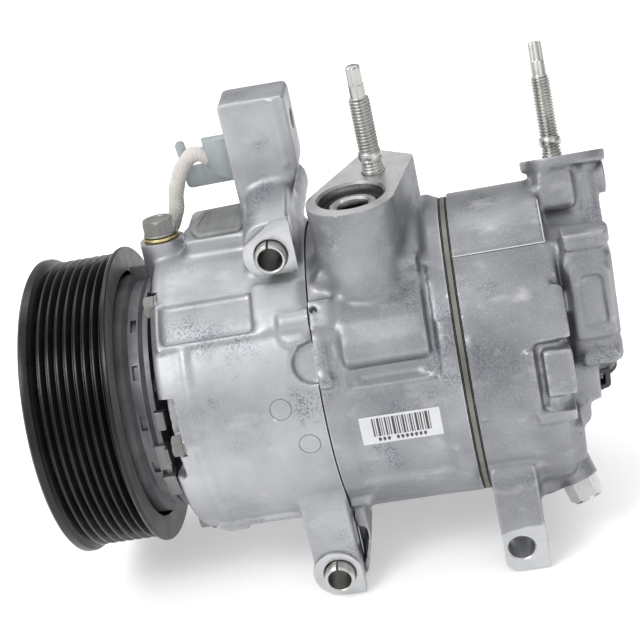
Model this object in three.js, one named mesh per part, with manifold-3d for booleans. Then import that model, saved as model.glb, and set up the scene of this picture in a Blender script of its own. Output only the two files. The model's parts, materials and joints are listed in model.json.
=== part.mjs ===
// Variable-displacement swash-plate air-conditioning compressor with a magnetic clutch.
// Millimetres. X runs along the drive shaft from the hub bolt to the rear housing, Z points up
// to the hose port on the cylinder block, and -Y is the side the mounting bolts enter from.
import * as THREE from 'three';
import { mergeVertices } from 'three/addons/utils/BufferGeometryUtils.js';
import Module from 'manifold-3d';

const wasm = await Module();
wasm.setup();

// ---------------------------------------------------------------- driving dimensions
const GAP = 0.3; // between touching parts
const SIDES = 32; // round castings and the pulley
const FINE = 12; // small round parts

const PULLEY_R = 61;
const PULLEY_FRONT = 3;
const PULLEY_REAR = 38;
const GROOVES = 8;
const GROOVE_PITCH = 3.56;
const GROOVE_DEPTH = 3;
const CREST_R = 59;
const FIRST_GROOVE = 7.2;
const RIM_INNER_R = 50.9;

const BODY_R = 59;
const FRONT_FACE = 54.4;
const FRONT_JOINT = 115.8;
const BLOCK_END = 167.5;
const GASKET_T = 0.3;
const REED_T = 0.3;
const PLATE_T = 1.8;
const GASKET_X = BLOCK_END + GAP;
const PLATE_X = GASKET_X + GASKET_T + GAP;
const HEAD_GASKET_X = PLATE_X + PLATE_T + GAP;
const REAR_FACE = HEAD_GASKET_X + GASKET_T + GAP;
const REAR_END = 206;

const CYLINDERS = 6;
const PISTON_CIRCLE = 33;
const BORE_R = 13.5;
const BOLT_CIRCLE = 54;
const BOLT_R = 3;
const BOLT_HOLE_R = 3.3;
const BOLT_PHASE = 4; // degrees above the -Y direction
const BOLT_SEAT = 57; // under the heads, on the front housing
const BOLT_TIP = 196; // in the rear housing's blind holes
const PISTON_PHASE = BOLT_PHASE + 30;

const SHAFT_R = 8;
const NOSE_R = 17.2;
const CRANKCASE_R = 48.3;
const CRANKCASE_X = 62;
const SWASH_X = 103; // swash plate centre at minimum stroke
const SWASH_T = 6.4;
const SWASH_R = 43;
const SWASH_BORE_R = 13;
const SHOE_R = 7.6;
const TILT = 15; // degrees, full stroke

const EAR_BORE_R = 5.2;
const EAR_PAD_R = 10.6;
const EAR_Y = 53; // lower pads and the engine side
const UPPER_EAR = { x: 104.3, z: 62, y: -24.5 };
const FRONT_EAR = { x: 106.4, z: -65.2 };
const REAR_EAR = { x: 178.4, z: -65.2 };
const SLEEVE_OUT = 4.6;
const FILL = { x: 59.2, angle: 96, seat: 61.4 };

const PORT_Z = 79.6;
const DISCHARGE = { x: 138.1, y: -22.5, r: 12.3 };
const DISCHARGE_STUD = { x: 146.3, y: -2 };
const SUCTION_TILT = 22; // degrees from Z towards +Y
const SUCTION_H = 66.8; // shaft axis to port face
const SUCTION = { x: 217.5, s: -9, r: 10.8 };
const SUCTION_STUD = { x: 214.9, s: 12 };
const VALVE_BOSS = { x: 215.4, y: -27, low: 9, high: 50, r: 12.6 };
// The relief valve's seat on the rear housing and the direction it points in.
const RELIEF = { x: 204.6, y: -29, z: -53.6, out: [0.31, -0.46, -0.83] };

// ---------------------------------------------------------------- shape helpers
const rad = (degrees) => (degrees * Math.PI) / 180;
const vec = (x, y, z) => new THREE.Vector3(x, y, z);

// A direction round the shaft: 0 degrees is -Y, 90 degrees is +Z.
const around = (angle, r) => ({ y: -r * Math.cos(rad(angle)), z: r * Math.sin(rad(angle)) });

function solid(geometry) {
  const plain = geometry.index ? geometry.toNonIndexed() : geometry.clone();
  for (const name of Object.keys(plain.attributes)) {
    if (name !== 'position') plain.deleteAttribute(name);
  }
  const merged = mergeVertices(plain, 1e-4);
  const corners = merged.attributes.position.array;
  const index = [];
  const source = merged.index.array;
  for (let i = 0; i < source.length; i += 3) {
    const [a, b, c] = [source[i], source[i + 1], source[i + 2]];
    if (a !== b && b !== c && c !== a) index.push(a, b, c);
  }
  if (signedVolume(corners, index) < 0) index.reverse();
  return new wasm.Manifold(
    new wasm.Mesh({
      numProp: 3,
      vertProperties: new Float32Array(corners),
      triVerts: new Uint32Array(index),
    }),
  );
}

function signedVolume(corners, index) {
  let total = 0;
  const [a, b, c] = [vec(0, 0, 0), vec(0, 0, 0), vec(0, 0, 0)];
  for (let i = 0; i < index.length; i += 3) {
    a.fromArray(corners, index[i] * 3);
    b.fromArray(corners, index[i + 1] * 3);
    c.fromArray(corners, index[i + 2] * 3);
    total += a.dot(b.cross(c)) / 6;
  }
  return total;
}

// Spins [x, r] points about the shaft axis. A ring's profile closes on itself.
function turned(profile, sides = SIDES) {
  const points = profile.map(([x, r]) => new THREE.Vector2(r, x));
  const onAxis = profile[0][1] === 0 && profile.at(-1)[1] === 0;
  if (!onAxis) points.push(points[0].clone());
  const geometry = new THREE.LatheGeometry(points, sides);
  geometry.rotateZ(-Math.PI / 2);
  return solid(geometry);
}

const disc = (x0, x1, r, sides = SIDES) => turned([[x0, 0], [x0, r], [x1, r], [x1, 0]], sides);

const ring = (x0, x1, inner, outer, sides = SIDES) =>
  turned([[x0, inner], [x0, outer], [x1, outer], [x1, inner]], sides);

function rod(from, to, r, sides = FINE, tip = r) {
  const span = to.clone().sub(from);
  const geometry = new THREE.CylinderGeometry(tip, r, span.length(), sides);
  const turn = new THREE.Quaternion().setFromUnitVectors(vec(0, 1, 0), span.clone().normalize());
  geometry.applyQuaternion(turn);
  geometry.translate(...from.clone().add(to).multiplyScalar(0.5).toArray());
  return solid(geometry);
}

const rodX = (x0, x1, y, z, r, sides = FINE, tip = r) =>
  rod(vec(x0, y, z), vec(x1, y, z), r, sides, tip);
const rodY = (y0, y1, x, z, r, sides = FINE) => rod(vec(x, y0, z), vec(x, y1, z), r, sides);
const rodZ = (z0, z1, x, y, r, sides = FINE) => rod(vec(x, y, z0), vec(x, y, z1), r, sides);

function block(x0, x1, y0, y1, z0, z1) {
  const geometry = new THREE.BoxGeometry(x1 - x0, y1 - y0, z1 - z0);
  geometry.translate((x0 + x1) / 2, (y0 + y1) / 2, (z0 + z1) / 2);
  return solid(geometry);
}

// Extrudes an outline drawn in X and Z along Y, in Y and Z along X, or in X and Y along Z.
function prism(shape, axis, from, to, curveSegments = 4) {
  const depth = to - from;
  const geometry = new THREE.ExtrudeGeometry(shape, { depth, bevelEnabled: false, curveSegments });
  if (axis === 'y') {
    geometry.rotateX(Math.PI / 2);
    geometry.translate(0, to, 0);
  } else if (axis === 'x') {
    geometry.applyMatrix4(
      new THREE.Matrix4().makeBasis(vec(0, 1, 0), vec(0, 0, 1), vec(1, 0, 0)),
    );
    geometry.translate(from, 0, 0);
  } else {
    geometry.translate(0, 0, from);
  }
  return solid(geometry);
}

// A four-sided or longer outline whose corners are rounded by one radius each.
function rounded(corners) {
  const shape = new THREE.Shape();
  corners.forEach(([x, y, r], i) => {
    const [px, py] = corners.at(i - 1);
    const [nx, ny] = corners[(i + 1) % corners.length];
    const before = new THREE.Vector2(px - x, py - y).normalize().multiplyScalar(r);
    const after = new THREE.Vector2(nx - x, ny - y).normalize().multiplyScalar(r);
    const start = [x + before.x, y + before.y];
    if (i === 0) shape.moveTo(...start);
    else shape.lineTo(...start);
    if (r > 0) shape.quadraticCurveTo(x, y, x + after.x, y + after.y);
  });
  shape.closePath();
  return shape;
}

// A wedge of a ring between two directions round the shaft.
function sector(x0, x1, inner, outer, low, high, steps = 8) {
  const shape = new THREE.Shape();
  const angles = Array.from({ length: steps + 1 }, (_, i) => low + ((high - low) * i) / steps);
  const arc = (list, r) => list.map((angle) => around(angle, r)).map(({ y, z }) => [y, z]);
  const outline = [...arc(angles, outer), ...arc(angles.reverse(), inner)];
  outline.forEach((point, i) => (i ? shape.lineTo(...point) : shape.moveTo(...point)));
  shape.closePath();
  return prism(shape, 'x', x0, x1);
}

function sweep(points, r, sides, steps, closed = false) {
  const path = new THREE.CatmullRomCurve3(points, closed, 'centripetal');
  const section = new THREE.Shape();
  section.absarc(0, 0, r, 0, 2 * Math.PI);
  return solid(
    new THREE.ExtrudeGeometry(section, {
      extrudePath: path,
      steps,
      curveSegments: sides / 2, // a full circle is drawn with twice as many
      bevelEnabled: false,
    }),
  );
}

const join = (...parts) => parts.reduce((all, part) => all.add(part));
const cut = (part, ...tools) => tools.reduce((all, tool) => all.subtract(tool), part);
const each = (count, make) => Array.from({ length: count }, (_, i) => make(i));

// Turns a solid about the shaft, an exact turn of its vertices.
function spun(part, degrees) {
  const geometry = toGeometry(part);
  geometry.rotateX(rad(degrees));
  return solid(geometry);
}

// Leans a solid built about Z by the suction port's tilt, towards +Y.
function leaned(part) {
  const geometry = toGeometry(part);
  geometry.rotateX(-rad(SUCTION_TILT));
  return solid(geometry);
}

function toGeometry(part) {
  const mesh = part.getMesh();
  const geometry = new THREE.BufferGeometry();
  geometry.setAttribute('position', new THREE.BufferAttribute(mesh.vertProperties.slice(), 3));
  geometry.setIndex(new THREE.BufferAttribute(mesh.triVerts.slice(), 1));
  return geometry;
}

// ---------------------------------------------------------------- materials
const material = (color, roughness, metalness) =>
  new THREE.MeshStandardMaterial({ color, roughness, metalness });
const CAST = material(0xb9bcc0, 0.5, 0.9);
const STEEL = material(0xa8aaad, 0.35, 1);
const ZINC = material(0xb4b5a4, 0.4, 1);
const BLACK_STEEL = material(0x1c1d1f, 0.45, 0.6);
const COIL = material(0x3a3c40, 0.55, 0.5);
const GASKET = material(0x5c5f52, 0.6, 0.4);
const RUBBER = material(0x1a1a1a, 0.9, 0);
const SLEEVE = material(0xe4ddd0, 0.7, 0);
const PLASTIC = material(0x2b2b2d, 0.6, 0);
const BRACKET = material(0x7f8985, 0.5, 0.7);
const COATED = material(0x4a4c4e, 0.5, 0.4);

const compressor = new THREE.Group();

function add(name, part, look, parent = compressor) {
  const geometry = toGeometry(part);
  geometry.computeVertexNormals();
  const mesh = new THREE.Mesh(geometry, look);
  mesh.name = name;
  parent.add(mesh);
  return mesh;
}

const boltAngles = each(CYLINDERS, (i) => BOLT_PHASE + i * 60);
const pistonAngles = each(CYLINDERS, (i) => PISTON_PHASE + i * 60);

function boltHoles(x0, x1, r = BOLT_HOLE_R) {
  return boltAngles.map((angle) => {
    const { y, z } = around(angle, BOLT_CIRCLE);
    return rodX(x0, x1, y, z, r, 8);
  });
}

// The flats that the bolt heads sit on, cut square to the shaft.
function boltSpots() {
  return boltAngles.map((angle) => {
    const { y, z } = around(angle, BOLT_CIRCLE);
    return rodX(48, BOLT_SEAT, y, z, 5.3);
  });
}

// A round bar on the fill plug's axis, between two distances from the shaft.
function fillRod(low, high, r, sides = 16) {
  const from = around(FILL.angle, low);
  const to = around(FILL.angle, high);
  return rod(vec(FILL.x, from.y, from.z), vec(FILL.x, to.y, to.z), r, sides);
}

// A round bar on the relief valve's axis, between two distances outwards from its seat.
function reliefRod(low, high, r, sides = FINE) {
  const seat = vec(RELIEF.x, RELIEF.y, RELIEF.z);
  const out = vec(...RELIEF.out).normalize();
  const at = (distance) => seat.clone().addScaledVector(out, distance);
  return rod(at(low), at(high), r, sides);
}

// ---------------------------------------------------------------- castings
// One mounting leg round its bore, seen along Y, with its left corner rounded by `corner`.
function lowerLeg({ x, z }, top, toLeft, toRight, corner) {
  const foot = z - EAR_PAD_R;
  return rounded([
    [x - toLeft, top, 0],
    [x - toLeft, foot, corner],
    [x + toRight, foot, 2],
    [x + toRight, top, 0],
  ]);
}

function frontHousing() {
  const shell = turned([
    [20.4, 0],
    [20.4, NOSE_R - 0.8],
    [21.2, NOSE_R],
    [52, NOSE_R],
    [52, 22],
    [56.6, 24],
    [56.6, 50],
    [FRONT_FACE, 52],
    [FRONT_FACE, 56.8],
    [57, 58.3],
    [66.5, 58.3],
    [67.2, BODY_R],
    [FRONT_JOINT - GAP, BODY_R],
    [FRONT_JOINT - GAP, 0],
  ]);
  const upperTube = rodY(UPPER_EAR.y, EAR_Y, UPPER_EAR.x, UPPER_EAR.z, EAR_PAD_R, 32);
  const upperFoot = block(UPPER_EAR.x - 9, 113.4, UPPER_EAR.y, EAR_Y, 45, UPPER_EAR.z);
  const towerSide = rounded([[93, 40, 0], [93, 114, 2], [118, 114, 2], [118, 60, 3], [113, 40, 0]]);
  const tower = prism(towerSide, 'y', 0, 19.5);
  const towerLean = rounded([[0, 60, 0], [0, 86, 3], [UPPER_EAR.y + 2, 72, 2], [UPPER_EAR.y + 2, 60, 0]]);
  const gusset = rounded([[19, 50, 0], [19, 100, 4], [EAR_Y - 8, 68, 3], [EAR_Y - 8, 45, 0]]);
  const legNear = prism(lowerLeg(FRONT_EAR, -24, EAR_PAD_R, 8.9, 9), 'y', -EAR_Y, -35);
  const legFar = prism(lowerLeg(FRONT_EAR, -24, EAR_PAD_R, 8.9, 9), 'y', 35, EAR_Y);
  const ribBetween = block(97, 103, -36, 36, -62, -40);
  const shelf = block(66, 94, 4, 30, 44, 64.4);
  const outer = join(
    shell,
    upperTube,
    upperFoot,
    tower,
    prism(towerLean, 'x', 96, 113.4),
    prism(gusset, 'x', 98, 106),
    legNear,
    legFar,
    ribBetween,
    fillRod(50, FILL.seat, 8.4),
    shelf,
  );
  const crankcase = turned([
    [CRANKCASE_X, 0],
    [CRANKCASE_X, 44],
    [CRANKCASE_X + 5, CRANKCASE_R],
    [FRONT_JOINT, CRANKCASE_R],
    [FRONT_JOINT, 0],
  ]);
  const shaftBore = turned([
    [20, 0],
    [20, 13],
    [36.6, 13],
    [36.6, 12],
    [63, 12],
    [63, 0],
  ]);
  const band = sector(59, 104, 57.9, 64, 44, 59.5);
  const notch = sector(53, 60.5, 50.5, 64, -8, 22, 6);
  const coilGuide = sector(53, 60.5, 50.5, 70, 103, 118, 4);
  const pockets = join(
    block(109, 116.5, -46, -39, -60, -30),
    block(109, 116.5, 39, 46, -60, -30),
  );
  const notchBolt = around(BOLT_PHASE, BOLT_CIRCLE);
  const notchPad = rodX(BOLT_SEAT, 61, notchBolt.y, notchBolt.z, 5.4, 16);
  const casting = cut(
    outer,
    disc(FRONT_JOINT - GAP, FRONT_JOINT + 8, BODY_R + 2),
    crankcase,
    shaftBore,
    band,
    notch,
    coilGuide,
    pockets,
    rodY(-60, 60, UPPER_EAR.x, UPPER_EAR.z, EAR_BORE_R + 1),
    rodY(-60, 60, FRONT_EAR.x, FRONT_EAR.z, EAR_BORE_R + 1),
    rodX(104, 120, 9.8, 102, 4, 20),
    fillRod(40, FILL.seat + 6, 4.5),
    fillRod(FILL.seat, FILL.seat + 12, 8.4),
  );
  return cut(join(casting, notchPad), ...boltHoles(40, 120), ...boltSpots());
}

function dischargeFace() {
  const shape = new THREE.Shape();
  const { x, y } = DISCHARGE;
  shape.moveTo(162, 8.5);
  shape.lineTo(149, 19.6);
  shape.lineTo(141, 19.6);
  shape.lineTo(x - 14.6, y + 7);
  shape.absarc(x, y - 1.6, 17, rad(149), rad(340), false);
  shape.closePath();
  return shape;
}

function cylinderBlock() {
  const shell = turned([
    [FRONT_JOINT, 0],
    [FRONT_JOINT, BODY_R],
    [122.5, BODY_R],
    [124, 57.4],
    [157, 57.4],
    [158.5, BODY_R],
    [BLOCK_END, BODY_R],
    [BLOCK_END, 0],
  ]);
  const portBoss = prism(dischargeFace(), 'z', 34, PORT_Z, 6);
  const muffler = sector(123.5, 158, 50, 63.5, 27, 57, 6);
  const rib = sector(122, 159, 50, 59.4, 13, 17, 3);
  const tailRib = sector(150, 160, 50, 64, 62, 84, 5);
  const portDepth = PORT_Z - 14;
  const bores = pistonAngles.map((angle) => {
    const { y, z } = around(angle, PISTON_CIRCLE);
    return rodX(FRONT_JOINT - 1, BLOCK_END + 1, y, z, BORE_R, 24);
  });
  const passage = around(42, 51.5);
  const chamber = sector(127, 154, 50.5, 60.2, 33, 62, 4);
  return cut(
    join(shell, portBoss, muffler, rib, tailRib),
    ...bores,
    ...boltHoles(110, 170),
    rodX(110, 151, 0, 0, 12, 24),
    rodX(150, 170, 0, 0, 9, 24),
    rodZ(portDepth, PORT_Z + 1, DISCHARGE.x, DISCHARGE.y, DISCHARGE.r, 28),
    rodZ(52, portDepth + 1, DISCHARGE.x, DISCHARGE.y, 7.5, 16),
    rodZ(62, PORT_Z + 1, DISCHARGE_STUD.x, DISCHARGE_STUD.y, 4.3, 20),
    rodX(152, 169, passage.y, passage.z, 3.4, 16),
    chamber,
  );
}

function rearHousing() {
  const shell = turned([
    [REAR_FACE, 0],
    [REAR_FACE, BODY_R],
    [197, BODY_R - 1],
    [REAR_END - 3, 57],
    [REAR_END, 53],
    [REAR_END, 30],
    [REAR_END + 5, 26],
    [REAR_END + 5, 0],
  ]);
  const flange = rounded([[201.2, 14, 9], [201.2, -25, 14], [234, -25, 15], [234, 14, 9], [217, 24, 9]]);
  const neck = rounded([[205, 18, 4], [205, -23, 8], [229, -23, 8], [229, 18, 6]]);
  const port = join(
    prism(flange, 'z', SUCTION_H - 4.2, SUCTION_H),
    prism(neck, 'z', 20, SUCTION_H - 3),
    rodX(226, 231.8, -13, SUCTION_H - 11, 6.2),
  );
  const { x, y, low, high, r } = VALVE_BOSS;
  const valveBoss = rodZ(low, high, x, y, r, 28);
  const valveCollar = rodZ(low - 1, low + 6, x, y, r + 1.8, 28);
  const valveFill = block(195, x + 3, y - r + 3, y + r + 10, low + 2, high - 3);
  const valveCap = rodZ(high - 4, high + 5, x - 1, y + 2, r - 1.5, 24);
  const squareBoss = sector(195, REAR_END, 50, 61, -6, 24, 5);
  const rib = sector(REAR_FACE + 1, REAR_FACE + 3.5, 50, 60, 2, 28, 5);
  const legNear = prism(lowerLeg(REAR_EAR, -28, 7, 10.2, 5), 'y', -EAR_Y, -37);
  const legFar = prism(lowerLeg(REAR_EAR, -28, 7, 10.2, 5), 'y', 37, EAR_Y);
  const sump = sector(REAR_FACE, 196, 48, 61.5, 228, 262, 6);
  const outer = join(
    shell,
    leaned(port),
    valveBoss,
    valveCollar,
    valveFill,
    valveCap,
    squareBoss,
    rib,
    legNear,
    legFar,
    sump,
    reliefRod(-22, 0, 8, 16),
  );
  const dischargeRoom = ring(REAR_FACE - 1, REAR_FACE + 22, 31, 46);
  const suctionRoom = disc(REAR_FACE - 1, REAR_END, 27, 48);
  const mouth = rodZ(24, SUCTION_H + 1, SUCTION.x, SUCTION.s, SUCTION.r, 32);
  const studHole = rodZ(50, SUCTION_H + 1, SUCTION_STUD.x, SUCTION_STUD.s, 4.3, 20);
  return cut(
    outer,
    dischargeRoom,
    suctionRoom,
    leaned(mouth),
    leaned(studHole),
    block(200, 216, 4, 12, 12, 34),
    rodZ(low - 4, high - 8, x, y, 9.6, 24),
    rodZ(low - 24, low - 1, x, y, 11.5, 20),
    rodY(-60, 60, REAR_EAR.x, REAR_EAR.z, EAR_BORE_R),
    reliefRod(-11, 4, 4.5),
    ...boltHoles(REAR_FACE - 1, BOLT_TIP + 2),
  );
}

// ---------------------------------------------------------------- valve group
function gasketDisc(x, thickness, extra = []) {
  return cut(ring(x, x + thickness, 47.4, BODY_R - 0.3), ...boltHoles(x - 1, x + 3), ...extra);
}

function valvePlate() {
  const ports = pistonAngles.flatMap((angle) => {
    const inner = around(angle, 24);
    const outer = around(angle, 40);
    return [
      rodX(PLATE_X - 1, PLATE_X + 4, inner.y, inner.z, 2.6, 8),
      rodX(PLATE_X - 1, PLATE_X + 4, outer.y, outer.z, 2.8, 8),
    ];
  });
  const passage = around(42, 51.5);
  return cut(
    disc(PLATE_X, PLATE_X + PLATE_T, BODY_R - 0.1),
    ...ports,
    ...boltHoles(PLATE_X - 1, PLATE_X + 4),
    rodX(PLATE_X - 1, PLATE_X + 4, passage.y, passage.z, 3.4, 16),
  );
}

// Each tongue, hinged towards one side, is freed from the disc by a U-shaped slot.
function reedDisc(x, hinge, tip) {
  const [wide, slot] = [4.6, 1.2];
  const reach = tip + Math.sign(tip - hinge) * slot;
  const outline = new THREE.Shape();
  outline.moveTo(-wide, hinge);
  outline.lineTo(-wide, reach);
  outline.lineTo(wide, reach);
  outline.lineTo(wide, hinge);
  outline.lineTo(wide - slot, hinge);
  outline.lineTo(wide - slot, tip);
  outline.lineTo(slot - wide, tip);
  outline.lineTo(slot - wide, hinge);
  outline.closePath();
  const slots = pistonAngles.map((angle) => spun(prism(outline, 'x', x - 1, x + 2), angle - 90));
  const centre = rodX(x - 1, x + 2, 0, 0, 6, 16);
  return cut(disc(x, x + REED_T, 47, 32), ...slots, centre);
}

// ---------------------------------------------------------------- clutch
function pulleyWheel() {
  const grooves = each(GROOVES, (i) => [
    [FIRST_GROOVE + i * GROOVE_PITCH, CREST_R],
    [FIRST_GROOVE + (i + 0.5) * GROOVE_PITCH, CREST_R - GROOVE_DEPTH],
  ]).flat();
  const last = FIRST_GROOVE + GROOVES * GROOVE_PITCH;
  const wheel = turned([
    [PULLEY_FRONT, 55.6],
    [PULLEY_FRONT, PULLEY_R],
    [5, PULLEY_R],
    ...grooves,
    [last, CREST_R],
    [last + 0.5, PULLEY_R],
    [PULLEY_REAR, PULLEY_R],
    [PULLEY_REAR, RIM_INNER_R],
    [18, RIM_INNER_R],
    [17, 50],
    [17, 30.2],
    [34.6, 30.2],
    [34.6, 25.9],
    [14.6, 25.9],
    [14.6, 24.4],
    [11.6, 24.4],
    [11.6, 54],
    [8, 55.6],
  ]);
  const slots = each(3, (i) => sector(10, 19, 39, 41, i * 120 + 8, i * 120 + 112, 10));
  return cut(wheel, ...slots);
}

function fieldCoil() {
  const shell = turned([
    [18.4, 31.4],
    [18.4, 49.2],
    [41, 49.2],
    [42.5, 47],
    [47, 47],
    [49, 48.6],
    [FRONT_FACE - 3.4, 48.6],
    [FRONT_FACE - 3.4, 46],
    [51, 44],
    [51, 18],
    [47.5, 18],
    [47.5, 31.4],
  ]);
  const lead = sector(40, 53, 45, 53, 104, 117, 3);
  const key = rodX(47, 55.6, 30, 30, 2.5, 12);
  return join(shell, lead, key);
}

// ---------------------------------------------------------------- running gear
function driveShaft() {
  return turned([
    [8.4, 0],
    [8.4, 6.2],
    [22.5, 6.2],
    [24, 7.6],
    [62.4, SHAFT_R - 0.2],
    [62.4, SHAFT_R],
    [146, SHAFT_R],
    [148, 6.5],
    [161, 6.5],
    [162, 5.5],
    [162, 0],
  ], 24);
}

function lugPlate() {
  const plate = turned([
    [65.2, 8.3],
    [65.2, 30],
    [66.4, 42],
    [66.4, 44],
    [72, 44],
    [73, 40],
    [73, 8.3],
  ]);
  const arm = (side) => block(72, 79.5, side < 0 ? -12 : 7, side < 0 ? -7 : 12, 12, 20);
  return join(plate, arm(-1), arm(1));
}

// A closed ring of wire wound about the shaft, with flat ends inside its length.
function spring(x0, x1, r, wire, turns) {
  const perTurn = 12;
  const count = turns * perTurn;
  const points = each(count + 1, (i) => {
    const angle = (i / perTurn) * 2 * Math.PI;
    return vec(x0 + wire + ((x1 - x0 - 2 * wire) * i) / count, r * Math.cos(angle), r * Math.sin(angle));
  });
  return sweep(points, wire, 6, count);
}

function swashPlate() {
  const half = SWASH_T / 2;
  const plate = turned([
    [-half - 5, SWASH_BORE_R],
    [-half - 5, 19],
    [-half, 21],
    [-half, SWASH_R],
    [half, SWASH_R],
    [half, 21],
    [half + 3, 19],
    [half + 3, SWASH_BORE_R],
  ]);
  const arm = block(-17, -half - 3, -4, 4, 13.5, 20);
  return join(plate, arm);
}

// One piston along X, its shoe pocket centred on the origin and its back towards +Z.
function piston(headX) {
  const crown = headX;
  const skirt = turned([
    [crown - 27, 0],
    [crown - 27, 11.5],
    [crown - 25, BORE_R - GAP],
    [crown, BORE_R - GAP],
    [crown, 0],
  ], 16);
  const jaw = SHOE_R + 3.4;
  const jaws = block(-jaw, crown - 24, -8.5, 8.5, -9, 12.9);
  const barrel = rodX(-jaw - 1, crown - 20, 0, 0, BORE_R - GAP, 16);
  const body = join(skirt, jaws.intersect(barrel));
  const socket = solid(new THREE.SphereGeometry(SHOE_R + 0.6, 12, 8));
  // The tilted plate sweeps a hollow that opens outwards from the shoes.
  const [mid, reach] = [SWASH_T / 2 + 0.9, 18];
  const edge = mid + reach * Math.tan(rad(TILT));
  const sweptPlate = turned([[-mid, 0], [-edge, reach], [edge, reach], [mid, 0]], 12);
  const underBridge = block(-15, 15, -15, 15, -15, SWASH_R - PISTON_CIRCLE + 1);
  const inner = block(-15, 15, -15, 15, -15, -9);
  const waist = block(SHOE_R + 6, crown - 28, -15, 15, -15, -2);
  return cut(body, sweptPlate.intersect(underBridge), socket, inner, waist);
}

// Half of a ball with its flat a little off the swash plate, on the side given by sign.
function shoe(sign) {
  const flat = SWASH_T / 2 + 0.35;
  const ball = solid(new THREE.SphereGeometry(SHOE_R, 16, 10));
  const keep = block(Math.min(sign * flat, sign * 9), Math.max(sign * flat, sign * 9), -9, 9, -9, 9);
  return ball.intersect(keep);
}

// ---------------------------------------------------------------- fasteners and fittings
function hexHead(x0, x1, y, z, acrossFlats) {
  return rodX(x0, x1, y, z, acrossFlats / Math.sqrt(3), 6);
}

function throughBolt(angle) {
  const { y, z } = around(angle, BOLT_CIRCLE);
  const seat = BOLT_SEAT - GAP;
  return join(
    rodX(seat - 1, BOLT_TIP, y, z, BOLT_R, 8),
    rodX(seat - 1.4, seat, y, z, 4.9, 16),
    hexHead(seat - 5.4, seat - 1.2, y, z, 8),
  );
}

// A stud built upwards from the port face at z = 0, threaded below into its hole.
function stud(above, tipLength) {
  return join(
    rodZ(-13, above - tipLength, 0, 0, 3.95, 20),
    rodZ(4.6, 8.2, 0, 0, 4.6, 20),
    rodZ(above - tipLength - 1, above, 0, 0, 3, 12),
  );
}

function sleeve(from, to, { x, z }) {
  const tube = cut(
    rodY(from, to, x, z, EAR_BORE_R + 0.75, 28),
    rodY(from - 1, to + 1, x, z, EAR_BORE_R - 0.6, 28),
  );
  const split = block(x - 0.5, x + 0.5, from - 1, to + 1, z, z + 9);
  return cut(tube, split);
}

function fillPlug() {
  const seat = FILL.seat + GAP;
  return join(
    fillRod(50, seat + 1, 4.1),
    fillRod(seat, seat + 2, 7.6, 20),
    fillRod(seat + 1.4, seat + 9, 6.6, 6),
  );
}

function reliefValve() {
  return join(
    reliefRod(-10.5, 1, 4.1),
    reliefRod(GAP, 7.5, 6.9, 6),
    reliefRod(7, 8.6, 5.6),
  );
}

function controlValve() {
  const { x, y, low, high } = VALVE_BOSS;
  return join(
    rodZ(low - 8, high - 10, x, y, 9.2, 28),
    rodZ(low - 14, low - 1.4, x, y, 11, 28),
    block(x - 5, x + 5, y - 6, y + 6, low - 22, low - 13),
  );
}

function leadConnector() {
  return join(block(81, 92.4, 27, 45, 77, 95), block(78, 82, 30, 40, 82, 92));
}

function leadBracket() {
  return join(
    block(72, 92.4, 6, 28, 64.8, 67.2),
    block(80, 92.4, 22, 24.4, 66, 96),
    block(78.6, 80.4, 22, 26.6, 80, 96),
  );
}

// ---------------------------------------------------------------- assembly
add('front_housing', frontHousing(), CAST);
add('cylinder_block', cylinderBlock(), CAST);
add('rear_housing', rearHousing(), CAST);

const passage = around(42, 51.5);
const passageHole = (x) => rodX(x - 1, x + 2, passage.y, passage.z, 3.4);
add('block_gasket', gasketDisc(GASKET_X, GASKET_T, [passageHole(GASKET_X)]), GASKET);
add('suction_reed_disc', reedDisc(GASKET_X, 18, 28), STEEL);
add('valve_plate', valvePlate(), GASKET);
add('discharge_reed_disc', reedDisc(HEAD_GASKET_X, 32, 42), STEEL);
add('head_gasket', gasketDisc(HEAD_GASKET_X, GASKET_T, [passageHole(HEAD_GASKET_X)]), GASKET);
boltAngles.forEach((angle, i) => add(`through_bolt_${i + 1}`, throughBolt(angle), STEEL));

add('field_coil', fieldCoil(), COIL);
add('coil_snap_ring', cut(ring(45.3, 47.1, NOSE_R + GAP, 22), block(45, 48, -3, 3, 10, 24)), STEEL);
add('shaft_seal', ring(24.5, 34, SHAFT_R + GAP, 12.6, 24), RUBBER);
add('front_bearing', ring(42, 60, SHAFT_R + GAP, 11.7, 24), STEEL);
add('front_thrust_bearing', ring(62.5, 64.8, SHAFT_R + GAP, 26), STEEL);
add('rear_bearing', ring(126, 142, SHAFT_R + GAP, 11.7, 24), STEEL);
add('control_valve', controlValve(), PLASTIC);
add('fill_plug', fillPlug(), ZINC);
add('relief_valve', reliefValve(), ZINC);
add('upper_mount_sleeve', sleeve(UPPER_EAR.y - SLEEVE_OUT, 6, UPPER_EAR), ZINC);
add('lower_mount_sleeve', sleeve(-EAR_Y - SLEEVE_OUT, -36, FRONT_EAR), ZINC);
add('lead_bracket', leadBracket(), BRACKET);
add('lead_connector', leadConnector(), PLASTIC);

const leadStart = around(110.5, 54.6);
const leadRoute = [
  vec(48, leadStart.y, leadStart.z),
  vec(51.5, leadStart.y + 1, leadStart.z + 6),
  vec(58, 20, 63),
  vec(63, 24, 72),
  vec(66, 29, 84),
  vec(71, 34, 90),
  vec(76.4, 35, 87),
];
add('coil_lead', sweep(leadRoute, 2.7, 8, 24), SLEEVE);

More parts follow.
